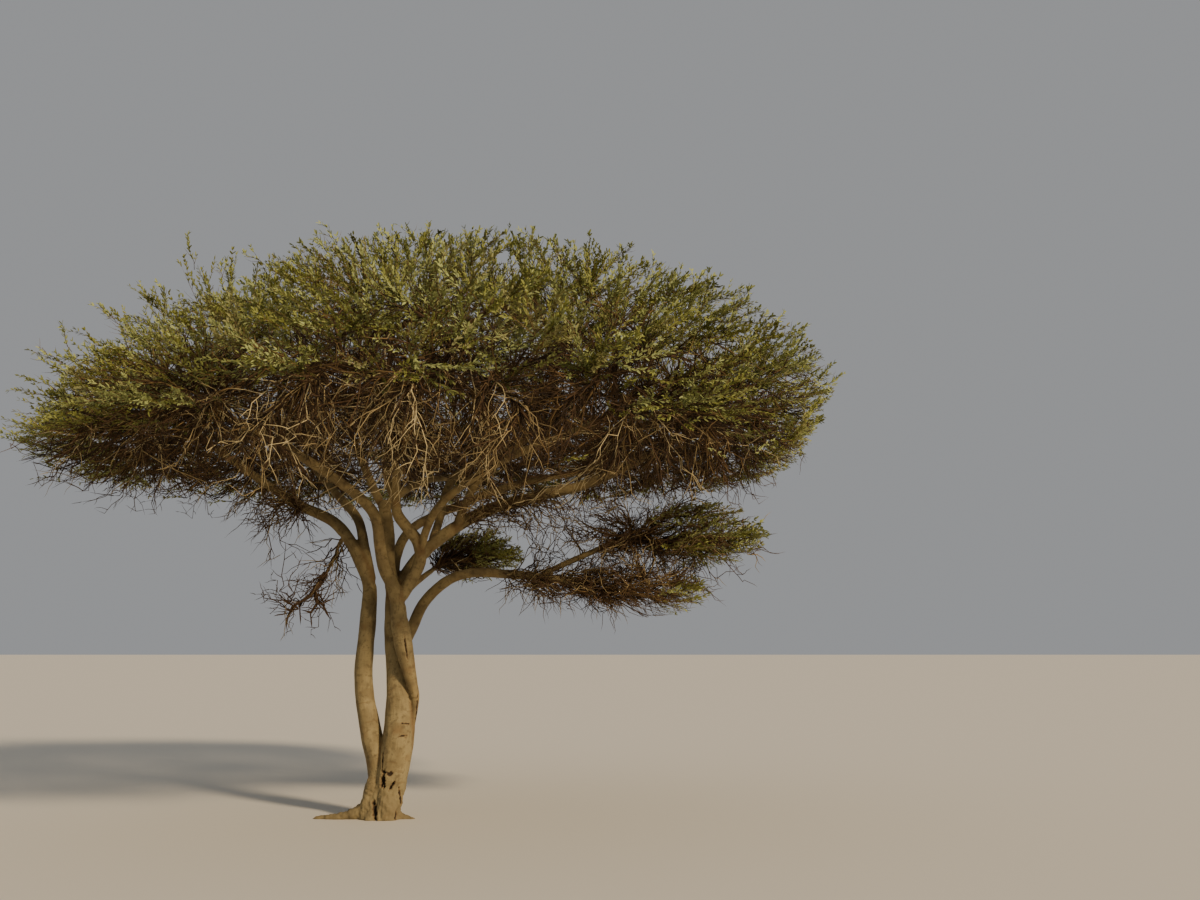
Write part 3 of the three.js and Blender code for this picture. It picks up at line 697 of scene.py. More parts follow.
def tubes(paths, radii, sides):
    """Vertices and triangles of closed tapering tubes along paths of equal numbers of points"""
    count, steps, _ = paths.shape
    helper = upright_or_level(chords(paths), 0.8)
    along = unit(np.gradient(paths, axis=1))
    side = across(along, helper[:, None])
    up = np.cross(along, side)
    turn = 2 * np.pi * np.arange(sides) / sides
    ring = side[:, :, None] * np.cos(turn)[:, None] + up[:, :, None] * np.sin(turn)[:, None]
    rings = (paths[:, :, None] + ring * radii[:, :, None, None])[:, :-1].reshape(count, -1, 3)
    vertices = np.concatenate([rings, paths[:, -1:]], axis=1)
    here = np.arange(sides)
    there = (here + 1) % sides
    low = sides * np.arange(steps - 2)[:, None]
    last = sides * (steps - 2)
    walls = [
        np.stack([low + here, low + there, low + sides + there], axis=2).reshape(-1, 3),
        np.stack([low + here, low + sides + there, low + sides + here], axis=2).reshape(-1, 3),
        np.stack([last + here, last + there, np.full(sides, last + sides)], axis=1),
        np.array([[0, i + 1, i] for i in range(1, sides - 1)]),
    ]
    return joined(vertices, np.vstack(walls))


straight = np.array([[0.0, 0, 0], [0, 0, 50], [0, 0, 100], [0, 0, 150]])[None]
print("a twig of 4 points and 3 sides has", len(tubes(straight, np.ones((1, 4)), 3)[1]), "faces")


# %% Crooked routes for many twigs at once
def sweep(starts, leave, ends, arrive, steps, crook, rng, bend=0.35):
    """Crooked curves from starts to ends that leave one way and arrive another"""
    span = size_of(ends - starts)
    first, last = starts + leave * span * bend, ends - arrive * span * bend
    t = np.linspace(0, 1, steps)[:, None]
    parts = ((1 - t) ** 3, starts), (3 * t * (1 - t) ** 2, first), (3 * t**2 * (1 - t), last), (t**3, ends)
    paths = sum(weight * point[:, None] for weight, point in parts)
    paths[:, 1:-1] += rng.normal(size=paths[:, 1:-1].shape) * span[:, None] * crook
    return paths


def along_paths(paths, shares):
    """Points and ways on each path at its own shares of the path"""
    steps = paths.shape[1] - 1
    place = np.clip(shares, 0, 0.999) * steps
    span = place.astype(int)
    each = np.arange(len(paths))[:, None]
    before, after = paths[each, span], paths[each, span + 1]
    return before + (after - before) * (place - span)[..., None], unit(after - before)


print("half way along a straight twig:", along_paths(straight, np.array([[0.5]]))[0].ravel())

# %% [markdown]
# The leaves of this tree are feathers only a few centimetres long, in tufts all along the shoots, so a
# shoot looks like a pipe cleaner. A leaf is drawn as one blade in the feather's outline, of four faces and
# folded along its middle, and a tuft is two blades that lean forwards round the shoot.


# %% Leaves as folded blades
# Points along, across and above the blade, in shares of its length and width, and the faces on them
BLADE_OUTLINE = np.array([
    (0, 0, 0), (0.34, 0.5, 0.16), (0.78, 0.36, 0.1), (1, 0, -0.06), (0.78, -0.36, 0.1), (0.34, -0.5, 0.16)
])
BLADE_FACES = np.array([(0, 3, 2), (0, 2, 1), (0, 5, 4), (0, 4, 3)])


def blades(roots, ways, ups, lengths, widths):
    """Vertices and triangles of leaves that lie along their ways and face up"""
    left = across(ups, ways)
    ups = np.cross(ways, left)
    shape = BLADE_OUTLINE[None] * np.stack([lengths, widths, widths], axis=1)[:, None]
    vertices = roots[:, None] + sum(
        shape[..., i : i + 1] * axis[:, None] for i, axis in enumerate((ways, left, ups))
    )
    return joined(vertices, BLADE_FACES)


print("a leaf has", len(blades(np.zeros((1, 3)), np.eye(3)[:1], np.eye(3)[2:], [42], [15])[1]), "faces")

# %% Tufts of leaves along the shoots
LEAF_STEP = 27
LEAF_LENGTH = 42
LEAF_WIDTH = 15
LEAF_SIZES = 0.75, 1.25
LEAF_LEAN = 18, 44
LEAVES_IN_TUFT = 2
# The golden angle, in radians, by which a plant turns from one leaf to the next
GOLDEN = 2.39996


def leaf_tufts(paths, sprays, rng, outward, bare_share):
    """Leaves all along the shoots, and the spray that each belongs to"""
    lengths = size_of(np.diff(paths, axis=1)).sum(axis=(1, 2))
    counts = np.maximum(3, (lengths * (1 - bare_share) / LEAF_STEP).astype(int))
    owner = np.repeat(np.arange(len(paths)), counts)
    order = np.arange(len(owner)) - np.repeat(np.cumsum(counts) - counts, counts)
    share = bare_share + (1 - bare_share) * (order + rng.random(len(owner))) / counts[owner]
    points, ways = (v[:, 0] for v in along_paths(paths[owner], share[:, None]))
    points, ways, owner = (np.repeat(v, LEAVES_IN_TUFT, axis=0) for v in (points, ways, owner))
    turn = np.arange(len(points)) * GOLDEN + rng.normal(size=len(points)) * 0.5
    side = across(ways, upright_or_level(ways, 0.9))
    up = np.cross(side, ways)
    out = side * np.cos(turn)[:, None] + up * np.sin(turn)[:, None]
    lean = np.radians(rng.uniform(*LEAF_LEAN, len(points)))[:, None]
    way = unit(ways * np.cos(lean) + out * np.sin(lean))
    face = outward(points) + out * 0.5 + np.array([0, 0, 0.5])
    size = rng.uniform(*LEAF_SIZES, len(points))
    vertices, triangles = blades(points, way, face, LEAF_LENGTH * size, LEAF_WIDTH * size)
    return vertices, triangles, np.repeat(sprays[owner], len(BLADE_FACES))


print("a tuft of", LEAVES_IN_TUFT, "leaves every", LEAF_STEP, "mm")

# %% [markdown]
# A colour is written as it looks on a screen, in hex, and one function turns it to the linear numbers that
# a shader adds up. Each finish is named for what the real one is.


# %% Colours and plain finishes
def linear(code):
    values = [int(code[i : i + 2], 16) / 255 for i in (1, 3, 5)]
    return (*(v / 12.92 if v <= 0.04045 else ((v + 0.055) / 1.055) ** 2.4 for v in values), 1.0)


def plain_finish(name, code, roughness, specular=0.3):
    material = bpy.data.materials.new(name)
    material.use_nodes = True
    shader = material.node_tree.nodes["Principled BSDF"]
    shader.inputs["Base Color"].default_value = linear(code)
    shader.inputs["Roughness"].default_value = roughness
    shader.inputs["Specular IOR Level"].default_value = specular
    material.diffuse_color = linear(code)
    return material


def finishes(roughness, **codes):
    return [plain_finish(name, code, roughness) for name, code in codes.items()]


# Waxy acacia leaves, dulled by dust: olive in the sun, deeper where old, yellower where young
LEAF_FINISHES = finishes(
    0.6, acacia_leaf_olive="#80833f", acacia_leaf_sage="#888f5a", acacia_leaf_deep="#696d38",
    acacia_leaf_young="#9ba264", acacia_leaf_dusty="#8c8a58",
)
LEAF_SHARES = [0.3, 0.24, 0.2, 0.14, 0.12]
# Living twigs with thin red-brown bark, dull
TWIG_FINISHES = finishes(0.8, twig_bark_brown="#4d3924", twig_bark_dark="#34271a", twig_bark_tan="#735c38")
TWIG_SHARES = [0.45, 0.4, 0.15]
# Dead twigs that the sun has bleached to a dry grey tan, and dead ones in the shade that stay brown: a brown
# that is partly painted shade
BARE_FINISHES = finishes(
    0.85, bleached_twig_pale="#bfaf86", bleached_twig_tan="#97855f", dead_twig_brown="#54402c"
)
print(len(LEAF_FINISHES + TWIG_FINISHES + BARE_FINISHES), "plain finishes")


# %% Joined meshes from arrays
class Bundle:
    """Many small things, gathered to be joined into one mesh"""

    def __init__(self):
        self.vertices, self.triangles, self.finishes, self.count = [], [], [], 0

    def gather(self, vertices, triangles, finishes):
        self.vertices.append(vertices)
        self.triangles.append(triangles + self.count)
        self.finishes.append(np.broadcast_to(finishes, len(triangles)))
        self.count += len(vertices)

    def make(self, name, materials, slot, nodes, smooth):
        vertices = np.vstack(self.vertices) * MM
        triangles = np.vstack(self.triangles)
        mesh = bpy.data.meshes.new(name)
        mesh.vertices.add(len(vertices))
        mesh.vertices.foreach_set("co", vertices.astype(np.float32).ravel())
        mesh.loops.add(triangles.size)
        mesh.loops.foreach_set("vertex_index", triangles.astype(np.int32).ravel())
        mesh.polygons.add(len(triangles))
        mesh.polygons.foreach_set("loop_start", np.arange(0, triangles.size, 3, dtype=np.int32))
        mesh.polygons.foreach_set("material_index", np.concatenate(self.finishes).astype(np.int32))
        mesh.polygons.foreach_set("use_smooth", np.full(len(triangles), smooth))
        for material in materials:
            mesh.materials.append(material)
        mesh.update(calc_edges=True)
        mesh.validate()
        piece = placed(name, mesh)
        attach(piece, "root")
        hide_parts(*nodes)
        return len(triangles)

    def twigs(self, paths, thick, thin, sides, finishes):
        """Adds tapering twigs, and deals each its finish"""
        radii = np.broadcast_to(np.linspace(thick, thin, paths.shape[1]), paths.shape[:2])
        vertices, triangles = tubes(paths, radii, sides)
        each = len(triangles) // len(paths)
        self.gather(vertices, triangles, np.repeat(np.broadcast_to(finishes, len(paths)), each))


print("an empty bundle holds", Bundle().count, "vertices")

# %% [markdown]
# Now the masses are dressed. A few helpers come first. Points are strewn through a space so that each is
# far from the rest, each is then reached from the twig that stands best for it, and whatever doesn't fit
# the space is drawn back until it does.

# %% How far fine growth may reach
# Fine growth is kept inside the CAD box grown by 3% of its sides and 10 mm, less 50 mm for the leaves on
# them.
cad_box = np.array([cad_low, cad_high]) / MM
LEAF_ROOM = 50
REACH = (cad_box[1] - cad_box[0]) * 0.03 + 10 - LEAF_ROOM
REACH_LOW, REACH_HIGH = cad_box[0] - REACH, cad_box[1] + REACH
DRAWN_BACK = np.array([1, 0.85, 0.7, 0.55, 0.4, 0.25])


def fitted(starts, ends, space, floor, proud):
    """Ends drawn back until the space holds them, and which of them fit at all"""
    tries = starts[:, None] + (ends - starts)[:, None] * DRAWN_BACK[:, None]
    fits = space.holds(tries, 0, proud) & (tries[..., 2] > floor)
    fits &= np.all((tries > REACH_LOW) & (tries < REACH_HIGH), axis=-1)
    first = fits.argmax(axis=1)
    return tries[np.arange(len(tries)), first], fits.any(axis=1)


print("fine growth may pass the CAD box by", REACH.round(), "mm")

# %% Where tips go, and what reaches them
WIDEST_SPACE = 4200
TRIED_EACH = 500
GOOD_EACH = 10


def strewn(space, rng, count, wanted, clearance, proud=0):
    """Points of the space, each far from the rest"""
    spread = np.minimum(space.high - space.low, WIDEST_SPACE)
    middle = np.array([*space.mass["centre"][:2], (space.low[2] + space.high[2]) / 2])
    low = np.maximum(space.low, middle - spread / 2) - proud
    high = np.minimum(space.high, middle + spread / 2)
    tried = low + rng.random((count * TRIED_EACH, 3)) * (high - low)
    tried = tried[space.holds(tried, clearance, proud) & wanted(tried)][: count * GOOD_EACH]
    chosen = [0]
    apart = size_of(tried - tried[0])[:, 0]
    while len(chosen) < min(count, len(tried)):
        chosen.append(int(np.argmax(apart)))
        apart = np.minimum(apart, size_of(tried - tried[chosen[-1]])[:, 0])
    return tried[chosen]


def best_nodes(tips, points, ways, wanted_span):
    """For each tip, the node of a twig that stands at about the wanted distance and points towards it"""
    line = tips[:, None] - points
    span = np.linalg.norm(line, axis=2)
    aim = np.einsum("nsk,sk->ns", line, ways) / np.maximum(span, 1)
    return np.argmin(np.abs(span - wanted_span) + (1 - aim) * 0.5 * wanted_span, axis=1)


def near_up(ways, rng, tilt):
    """Ways square to the given ones and near upright, so that a spray lies flat"""
    loose = np.array([0, 0, 1.0]) + rng.normal(0, tilt, ways.shape)
    return unit(loose - np.sum(loose * ways, axis=1)[:, None] * ways)


print("of", TRIED_EACH, "points tried for each tip, up to", GOOD_EACH, "are compared")

# %% [markdown]
# A mass is grown in the order in which a tree grows. Its forked twigs are the source's own, rounded and a
# little crooked. In the light, five shoots run out along the rays of each fan, and more reach between
# them. Every shoot bears side shoots by turns to its left and right, and leaves all along. The photograph
# shows a dense green shell over a brown haze of bare twigs, and bleached dead twigs that arch and hang
# under the front. Each of these is grown by a step of its own.


# %% One mass while it grows
class Growth:
    def __init__(self, name, space, twigs):
        self.name, self.space, self.twigs = name, space, twigs
        self.rng = np.random.default_rng(space.mass["seed"])
        self.kind = "outer" if name in OUTER else "inner" if name in INNER else name
        self.in_crown = name in crown_names
        self.leafy = bool(space.mass["tips"])
        self.floor = space.low[2] + 20
        self.wood, self.dead, self.green = Bundle(), Bundle(), Bundle()
        self.nodes, self.ways = [], []

    def bear(self, paths):
        """Lets later twigs start from these"""
        self.nodes.append(paths.reshape(-1, 3))
        self.ways.append(unit(np.gradient(paths, axis=1)).reshape(-1, 3))

    def reached(self, tips, arrive, span, steps, crook, bend=0.35):
        """Twigs that reach for tips from where it is best to start"""
        nodes, ways = np.vstack(self.nodes), np.vstack(self.ways)
        chosen = best_nodes(tips, nodes, ways, span)
        return sweep(nodes[chosen], ways[chosen], tips, arrive, steps, crook, self.rng, bend)

    def side_shoots(self, paths, each, reach, floor, proud=0, steps=4, spread=(30, 55), turns=None):
        """Shoots by turns to the left and right of longer ones, and which one bears each"""
        rng = self.rng
        turns = near_up(chords(paths), rng, 1.0) if turns is None else turns
        shares = np.linspace(0.12, 0.94, each) + rng.uniform(-0.04, 0.04, (len(paths), each))
        points, ways = along_paths(paths, shares)
        hands = np.where(np.arange(each) % 2, 1.0, -1.0)[None, :, None]
        side = across(ways, turns[:, None]) * hands
        lift = turns[:, None] * rng.normal(0, 0.35, (len(paths), each, 1))
        angle = np.radians(rng.uniform(*spread, (len(paths), each, 1)))
        leave = unit(ways * np.cos(angle) + side * np.sin(angle) + lift)
        length = reach * (1.15 - 0.6 * shares) * rng.uniform(0.6, 1.2, shares.shape)
        ends = points + unit(leave + ways * 0.35) * length[..., None]
        points, ways, leave, ends = (v.reshape(-1, 3) for v in (points, ways, leave, ends))
        ends, fit = fitted(points, ends, self.space, floor, proud)
        grown = sweep(points[fit], leave[fit], ends[fit], unit(leave + ways * 0.9)[fit], steps, 0.02, rng)
        return grown, np.repeat(np.arange(len(paths)), each)[fit]

    def brown_twigs(self, paths, thick, thin, sides=3):
        """Adds living twigs, and deals them their browns"""
        finishes = self.rng.choice(len(TWIG_SHARES), len(paths), p=TWIG_SHARES)
        self.wood.twigs(paths, thick, thin, sides, finishes)

    def leaves(self, paths, finishes, rng, bare_share=0.06):
        """Adds leaves along shoots, all those of a shoot with its finish"""
        self.green.gather(*leaf_tufts(paths, finishes, rng, self.space.outward, bare_share))


print("a mass has", len(TWIG_FINISHES), "browns for its living twigs")


# %% Forked twigs, as the source has them
def grow_forks(growth):
    for twig in growth.twigs:
        course = Course(twig["points"])
        steps = max(4, int(course.lengths[-1] / 90))
        shares = np.linspace(0, 1, steps)
        path = course.point(shares)
        path[1:-1] += growth.rng.normal(0, 5, (steps - 2, 3))
        vertices, triangles = tubes(path[None], radius_along(twig["radii"], shares)[None], 6)
        (growth.wood if growth.leafy else growth.dead).gather(vertices, triangles, 0 if growth.leafy else 2)
        growth.bear(path[None])


print("the front mass has", len(skeletons["foliage_front"][1]), "forked twigs")

# %% Where leaves grow
# How many fine tips a mass has, besides its fans
FINE_TIPS = dict(
    outer=72, inner=60, foliage_low_right_upper=26, foliage_low_right_lower=14, foliage_back_low=18
)
# How far leafy shoots stand out of the CAD's dome, in mm: on the left they rise above it
LEAFY_PROUD = dict(foliage_left=330, foliage_back_left=320, foliage_inner_left=110)
LEAFY_PROUD_OTHERS = 10
# The low masses turn green from some x on, over a stretch
SHOOTS_FROM = dict(foliage_low_right_upper=2350, foliage_low_right_lower=2500, foliage_back_low=-100)
SHOOTS_EASE = 1000
LIT_INSET = 160
LIT_BELOW = 60
LAYER_SIZE = np.array([620, 620, 210])
LAYER_GAPS = -0.3


def in_layer(points):
    """True in the flat clumps that sprays form, false in the dark gaps between them"""
    flat = points.reshape(-1, 3) / LAYER_SIZE
    return (np.array([noise.noise(Vector(p)) for p in flat]) > LAYER_GAPS).reshape(points.shape[:-1])


def in_light(space):
    """Where fine leafy tips are wanted"""
    if isinstance(space, EggSpace):
        return space.leafy
    lift, floor = space.mass["lift"], space.mass["leaves_above"] - LIT_BELOW
    shell = lambda p: in_dome(p, LIT_INSET, lift) & ~in_dome(p, SHELL_INSIDE, lift)
    return lambda p: shell(p) & (p[..., 2] > floor) & in_layer(p)


def is_green(growth, paths):
    """Which shoots bear leaves"""
    middles = paths.mean(axis=1)
    if growth.in_crown:
        return in_layer(middles)
    return growth.rng.random(len(paths)) < (middles[:, 0] - SHOOTS_FROM[growth.name]) / SHOOTS_EASE


print("leaves fill the layers where noise is over", LAYER_GAPS)


# %% Shoots along the fans' rays and between the fans
REACHER_SPAN = 620
ONWARD_REACH = 300, 600


def fan_shoots(growth):
    """A shoot along each ray of the source's fans, and the way round which its side shoots spread"""
    fans = [twig for twig in growth.twigs if twig.get("fan")]
    ends = np.array([end for twig in fans for end in twig["fan"]["ends"]])
    ways = np.repeat([unit(twig["points"][-1] - twig["points"][-2]) for twig in fans], RAYS, axis=0)
    roots = np.repeat([twig["points"][-1] for twig in fans], RAYS, axis=0)
    roots = roots - ways * growth.rng.uniform(0, 70, (len(ends), 1))
    arrive = unit(unit(ends - roots) + growth.space.outward(ends) * 0.5)
    turns = np.repeat([twig["fan"]["turn"] for twig in fans], RAYS, axis=0)
    return sweep(roots, ways, ends, arrive, 7, 0.012, growth.rng), turns


def onward_shoots(growth, proud):
    """Thin twigs to tips between the fans, each of which goes on as a leafy shoot"""
    rng, space = growth.rng, growth.space
    tips = strewn(space, rng, FINE_TIPS[growth.kind], in_light(space), 30)
    outward = space.outward(tips)
    growth.reachers = growth.reached(tips, outward, REACHER_SPAN, 7, 0.015)
    growth.brown_twigs(growth.reachers, 5.5, 3, 4)
    level = unit(outward * np.array([1, 1, 0.55 if proud < 200 else 1.0]))
    reach = tips + level * rng.uniform(*ONWARD_REACH, (len(tips), 1)) + rng.normal(0, 35, tips.shape)
    ends, fit = fitted(tips, reach, space, space.leaf_floor, proud)
    onwards = sweep(tips[fit], outward[fit], ends[fit], level[fit], 7, 0.015, rng)
    # The leafy shoot takes in the last part of the twig that bears it.
    return np.concatenate([growth.reachers[fit][:, 4:6], onwards[:, [0, 1, 3, 4, 6]]], axis=1)


print("besides its fans, an outer mass has", FINE_TIPS["outer"], "shoots")

# %% Leafy shoots
SIDE_SHOOTS = 6
SIDE_REACH = 330
SIDE_SPREAD = 14, 32


def grow_leafy(growth):
    rng, space = growth.rng, growth.space
    proud = LEAFY_PROUD.get(growth.name, LEAFY_PROUD_OTHERS)
    rays, ray_turns = fan_shoots(growth)
    onwards = onward_shoots(growth, proud)
    shoots = np.vstack([rays, onwards])
    turns = np.vstack([ray_turns, near_up(chords(onwards), rng, 0.22)])
    finish = rng.choice(len(LEAF_SHARES), len(shoots), p=LEAF_SHARES)
    growth.wood.twigs(shoots, 3.6, 1.4, 3, 2)
    side, owner = growth.side_shoots(
        shoots, SIDE_SHOOTS, SIDE_REACH, space.leaf_floor, proud, 3, SIDE_SPREAD, turns
    )
    growth.wood.twigs(side, 2.2, 1, 3, 2)
    for paths, sprays in ((shoots, finish), (side, finish[owner])):
        green = is_green(growth, paths)
        growth.leaves(paths[green], sprays[green], rng)
    growth.bear(growth.reachers)


print("each leafy shoot bears up to", SIDE_SHOOTS, "side shoots")

# %% Thin shoots that stand out of the crown
SPIKES = dict(outer=26, inner=16)
SPIKE_PROUD = dict(foliage_left=470, foliage_back_left=450, foliage_inner_left=200)
SPIKE_PROUD_OTHERS = 118
SPIKES_ABOVE = 3700
SPIKE_FLOOR = 3000


def grow_spikes(growth):
    rng, space, lift = growth.rng, growth.space, growth.space.mass["lift"]
    count, proud = SPIKES[growth.kind], SPIKE_PROUD.get(growth.name, SPIKE_PROUD_OTHERS)
    tips = strewn(space, rng, count, lambda p: ~in_dome(p, 120, lift) & (p[..., 2] > SPIKES_ABOVE), 20)
    rise = unit(space.outward(tips) + np.array([0, 0, 0.7]) + rng.normal(0, 0.2, tips.shape))
    spikes = growth.reached(tips + rise * rng.uniform(60, proud + 60, (len(tips), 1)), rise, 500, 7, 0.02)
    ends, fit = fitted(spikes[:, 3], spikes[:, -1], space, SPIKE_FLOOR, proud)
    spikes = sweep(spikes[fit][:, 3], rise[fit], ends[fit], rise[fit], 6, 0.02, rng)
    growth.brown_twigs(spikes, 3, 1.4)
    forks, _ = growth.side_shoots(spikes, 5, 170, SPIKE_FLOOR, proud)
    growth.brown_twigs(forks, 2.2, 1)
    for paths in (spikes, forks[::2]):
        growth.leaves(paths, rng.choice([1, 3], len(paths)), rng, 0.25)


print("spikes on the left stand out by up to", max(SPIKE_PROUD.values()), "mm")

# %% The brown haze of bare twigs inside
INSIDE = dict(
    outer=200, inner=150, foliage_low_right_upper=30, foliage_low_right_lower=30, foliage_back_low=50
)
BEHIND_MORE = 1.3
# At the rim a share of them bears leaves, so that the green reaches the lower edge.
RIM_LEAFY = dict(foliage_front_right=0.3, foliage_front_left=0.15, foliage_front=0)
RIM_LEAFY_OTHERS = 0.4
RIM_FROM = 0.8
RIM_SEED = 900


def is_inside(space):
    """Where the haze is wanted: under the shell"""
    if isinstance(space, EggSpace):
        return lambda p: space.reach(p) < 0.95
    return lambda p: (p[..., 2] < space.mass["under"] + 1000) & (crown_share(p) < 0.97)


def grow_rim_leaves(growth, fine):
    mass = growth.space.mass
    rng = np.random.default_rng(mass["seed"] + RIM_SEED)
    rim = (crown_share(fine.mean(axis=1)) > RIM_FROM) & (fine[:, -1, 2] < mass["leaves_above"] + 150)
    rim &= chords(fine)[:, 2] > -0.25
    green = fine[rim & (rng.random(len(fine)) < RIM_LEAFY.get(growth.name, RIM_LEAFY_OTHERS))]
    growth.leaves(green, rng.choice(len(LEAF_SHARES), len(green), p=LEAF_SHARES), rng, 0.2)


def grow_inside(growth):
    rng, space = growth.rng, growth.space
    count = round(INSIDE[growth.kind] * (BEHIND_MORE if "back" in growth.name else 1))
    tips = strewn(space, rng, count, is_inside(space), 0)
    arrive = unit(space.outward(tips) + rng.normal(0, 0.35, tips.shape))
    twigs = growth.reached(tips, arrive, 480, 6, 0.025)
    growth.brown_twigs(twigs, 7, 3.5)
    fine, _ = growth.side_shoots(twigs, 5, 400, growth.floor, 0, 3, (22, 60))
    growth.brown_twigs(fine, 5.4, 2.2)
    if growth.kind == "outer":
        grow_rim_leaves(growth, fine)
    fine, _ = growth.side_shoots(growth.reachers[:, :5], 5, 300, growth.floor, 0, 3, (25, 60))
    growth.brown_twigs(fine, 4.2, 1.8)


print("the haze has", INSIDE["outer"], "twigs in an outer mass and", INSIDE["inner"], "in an inner one")

# %% Twigs that hang under the crown
HANGING = dict(foliage_front=64, foliage_inner_front=44, foliage_front_right=40, foliage_front_left=50)
HANGING_OTHERS = 40
HANGING_LOW = 24
PALE = dict(foliage_front=0.85, foliage_inner_front=0.7, foliage_front_left=0.55, foliage_front_right=0.35)
PALE_OTHERS = 0.06
# How long a twig is, how far it hangs out of the mass, its crook and thickness, and its forks' number,
# length and thickness
HANG_IN_CROWN = dict(span=740, proud=170, crook=0.035, thick=5.5, forks=7, reach=320, fork_thick=3.4)
HANG_ELSEWHERE = dict(span=420, proud=60, crook=0.055, thick=6, forks=5, reach=200, fork_thick=4.2)


def grow_hanging(growth):
    rng, space = growth.rng, growth.space
    if growth.in_crown:
        form, others, under = HANG_IN_CROWN, HANGING_OTHERS, space.mass["under"]
        wanted = lambda p: (p[..., 2] < under + 330) & (crown_share(p) < 0.98)
    else:
        form, others = HANG_ELSEWHERE, HANGING_LOW
        wanted = lambda p: space.reach(p) < 1
    proud = form["proud"]
    tips = strewn(space, rng, HANGING.get(growth.name, others), wanted, 5, proud)
    droop = np.array([0, 0, -0.55 if growth.name in PALE else -0.3])
    down = unit(space.outward(tips) + droop + rng.normal(0, 0.6, tips.shape))
    hanging = growth.reached(tips, down, form["span"], 8, form["crook"], 0.42)
    pale = rng.random(len(hanging)) < PALE.get(growth.name, PALE_OTHERS)
    # Twigs that aren't pale are dead brown, partly as painted shade where they hang in the crown's shade
    dealt = np.where(pale, rng.choice(2, len(hanging)), 2)
    growth.dead.twigs(hanging, form["thick"], 2.2, 4, dealt)
    floor = growth.floor - proud - 20
    forks, owner = growth.side_shoots(hanging, form["forks"], form["reach"], floor, proud, 5, (25, 65))
    growth.dead.twigs(forks, form["fork_thick"], 1.4, 3, dealt[owner])


print("the front mass has", HANGING["foliage_front"], "hanging twigs")


# %% Dress every mass
def dress(name, space, twigs):
    """Grows everything on a mass and makes its pieces"""
    growth = Growth(name, space, twigs)
    short = name.replace("foliage_", "")
    grow_forks(growth)
    made = {}
    if growth.leafy:
        grow_leafy(growth)
        if growth.in_crown:
            grow_spikes(growth)
        grow_inside(growth)
    grow_hanging(growth)
    if growth.leafy:
        made["leaves"] = growth.green.make(f"leaves_{short}", LEAF_FINISHES, "foliage", [name], False)
        made["twigs"] = growth.wood.make(f"twigs_{short}", TWIG_FINISHES, "foliage", [name], True)
    bare_name = f"bare_twigs_{short}" if growth.leafy else f"{name}_grown"
    made["bare"] = growth.dead.make(bare_name, BARE_FINISHES, "dead_wood", [name], True)
    return made


totals = {}
for name, (space, twigs) in skeletons.items():
    made = dress(name, space, twigs)
    print(name, made)
    for kind, count in made.items():
        totals[kind] = totals.get(kind, 0) + count
print("triangles in all", totals)

# %% [markdown]
# Some bare twigs don't grow in a mass but straight from a limb: a whole brush of them fills the fork of the
# low branch, a few hang under the long boughs and by the left stem, and two flat tufts let the crown's
# underside taper towards the forks.

# %% Where twigs grow from the limbs
# The limbs and the stretch of them that bears the tuft, its centre and half sizes, its twigs, the forks on
# each, and the masses that it adds to
FORK = ["branch_low_right", "branch_low_right_upper"]
BRUSH = ["foliage_low_right_upper", "foliage_low_right_lower"]
TUFTS = [
    (FORK, (0.7, 1), (2480, -40, 2520), (1150, 520, 520), 125, 6, BRUSH),
    (FORK, (0.6, 1), (2050, -40, 2120), (950, 460, 240), 70, 6, BRUSH[::-1]),
    (FORK, (0.9, 1), (2430, -40, 2380), (760, 420, 190), 60, 5, BRUSH),
    (FORK[:1], (0.8, 1), (1560, -60, 2060), (480, 330, 170), 26, 5, BRUSH[1:]),
    (["bough_right"], (0.45, 0.95), (1450, 330, 2690), (560, 380, 300), 26, 4, ["foliage_right"]),
    (["branch_dead_left"], (0.05, 0.9), (-600, 130, 2230), (360, 260, 380), 16, 4, ["dead_twigs_left"]),
    (["bough_left"], (0.6, 0.85), (-1230, 200, 2620), (160, 160, 420), 4, 5, ["foliage_left"]),
    (["bough_right", "bough_front_right"], (0.3, 0.9), (1050, 120, 2850), (600, 460, 230), 48, 5,
     ["foliage_inner_right"]),
    (["bough_left", "bough_front_left"], (0.5, 0.95), (-1150, 60, 2840), (620, 520, 230), 48, 5,
     ["foliage_inner_left"]),
]
print(len(TUFTS), "tufts with", sum(tuft[4] for tuft in TUFTS), "twigs at most")


# %% Twigs from the limbs
TUFT_SEED = 70
TUFT_SHARES = 0.25, 0.75


def bearing_points(limbs, shares, nodes):
    """Where twigs may start, and the ways there; a tuft on two masses starts from their forks too"""
    shares = np.linspace(*shares, 30)
    starts = [courses[limb].point(shares) for limb in limbs]
    ways = [courses[limb].along(shares) for limb in limbs]
    for node in nodes if len(nodes) > 1 else []:
        for twig in skeletons[node][1]:
            starts.append(twig["points"])
            ways.append(unit(np.gradient(twig["points"], axis=0)))
    return np.vstack(starts), np.vstack(ways)


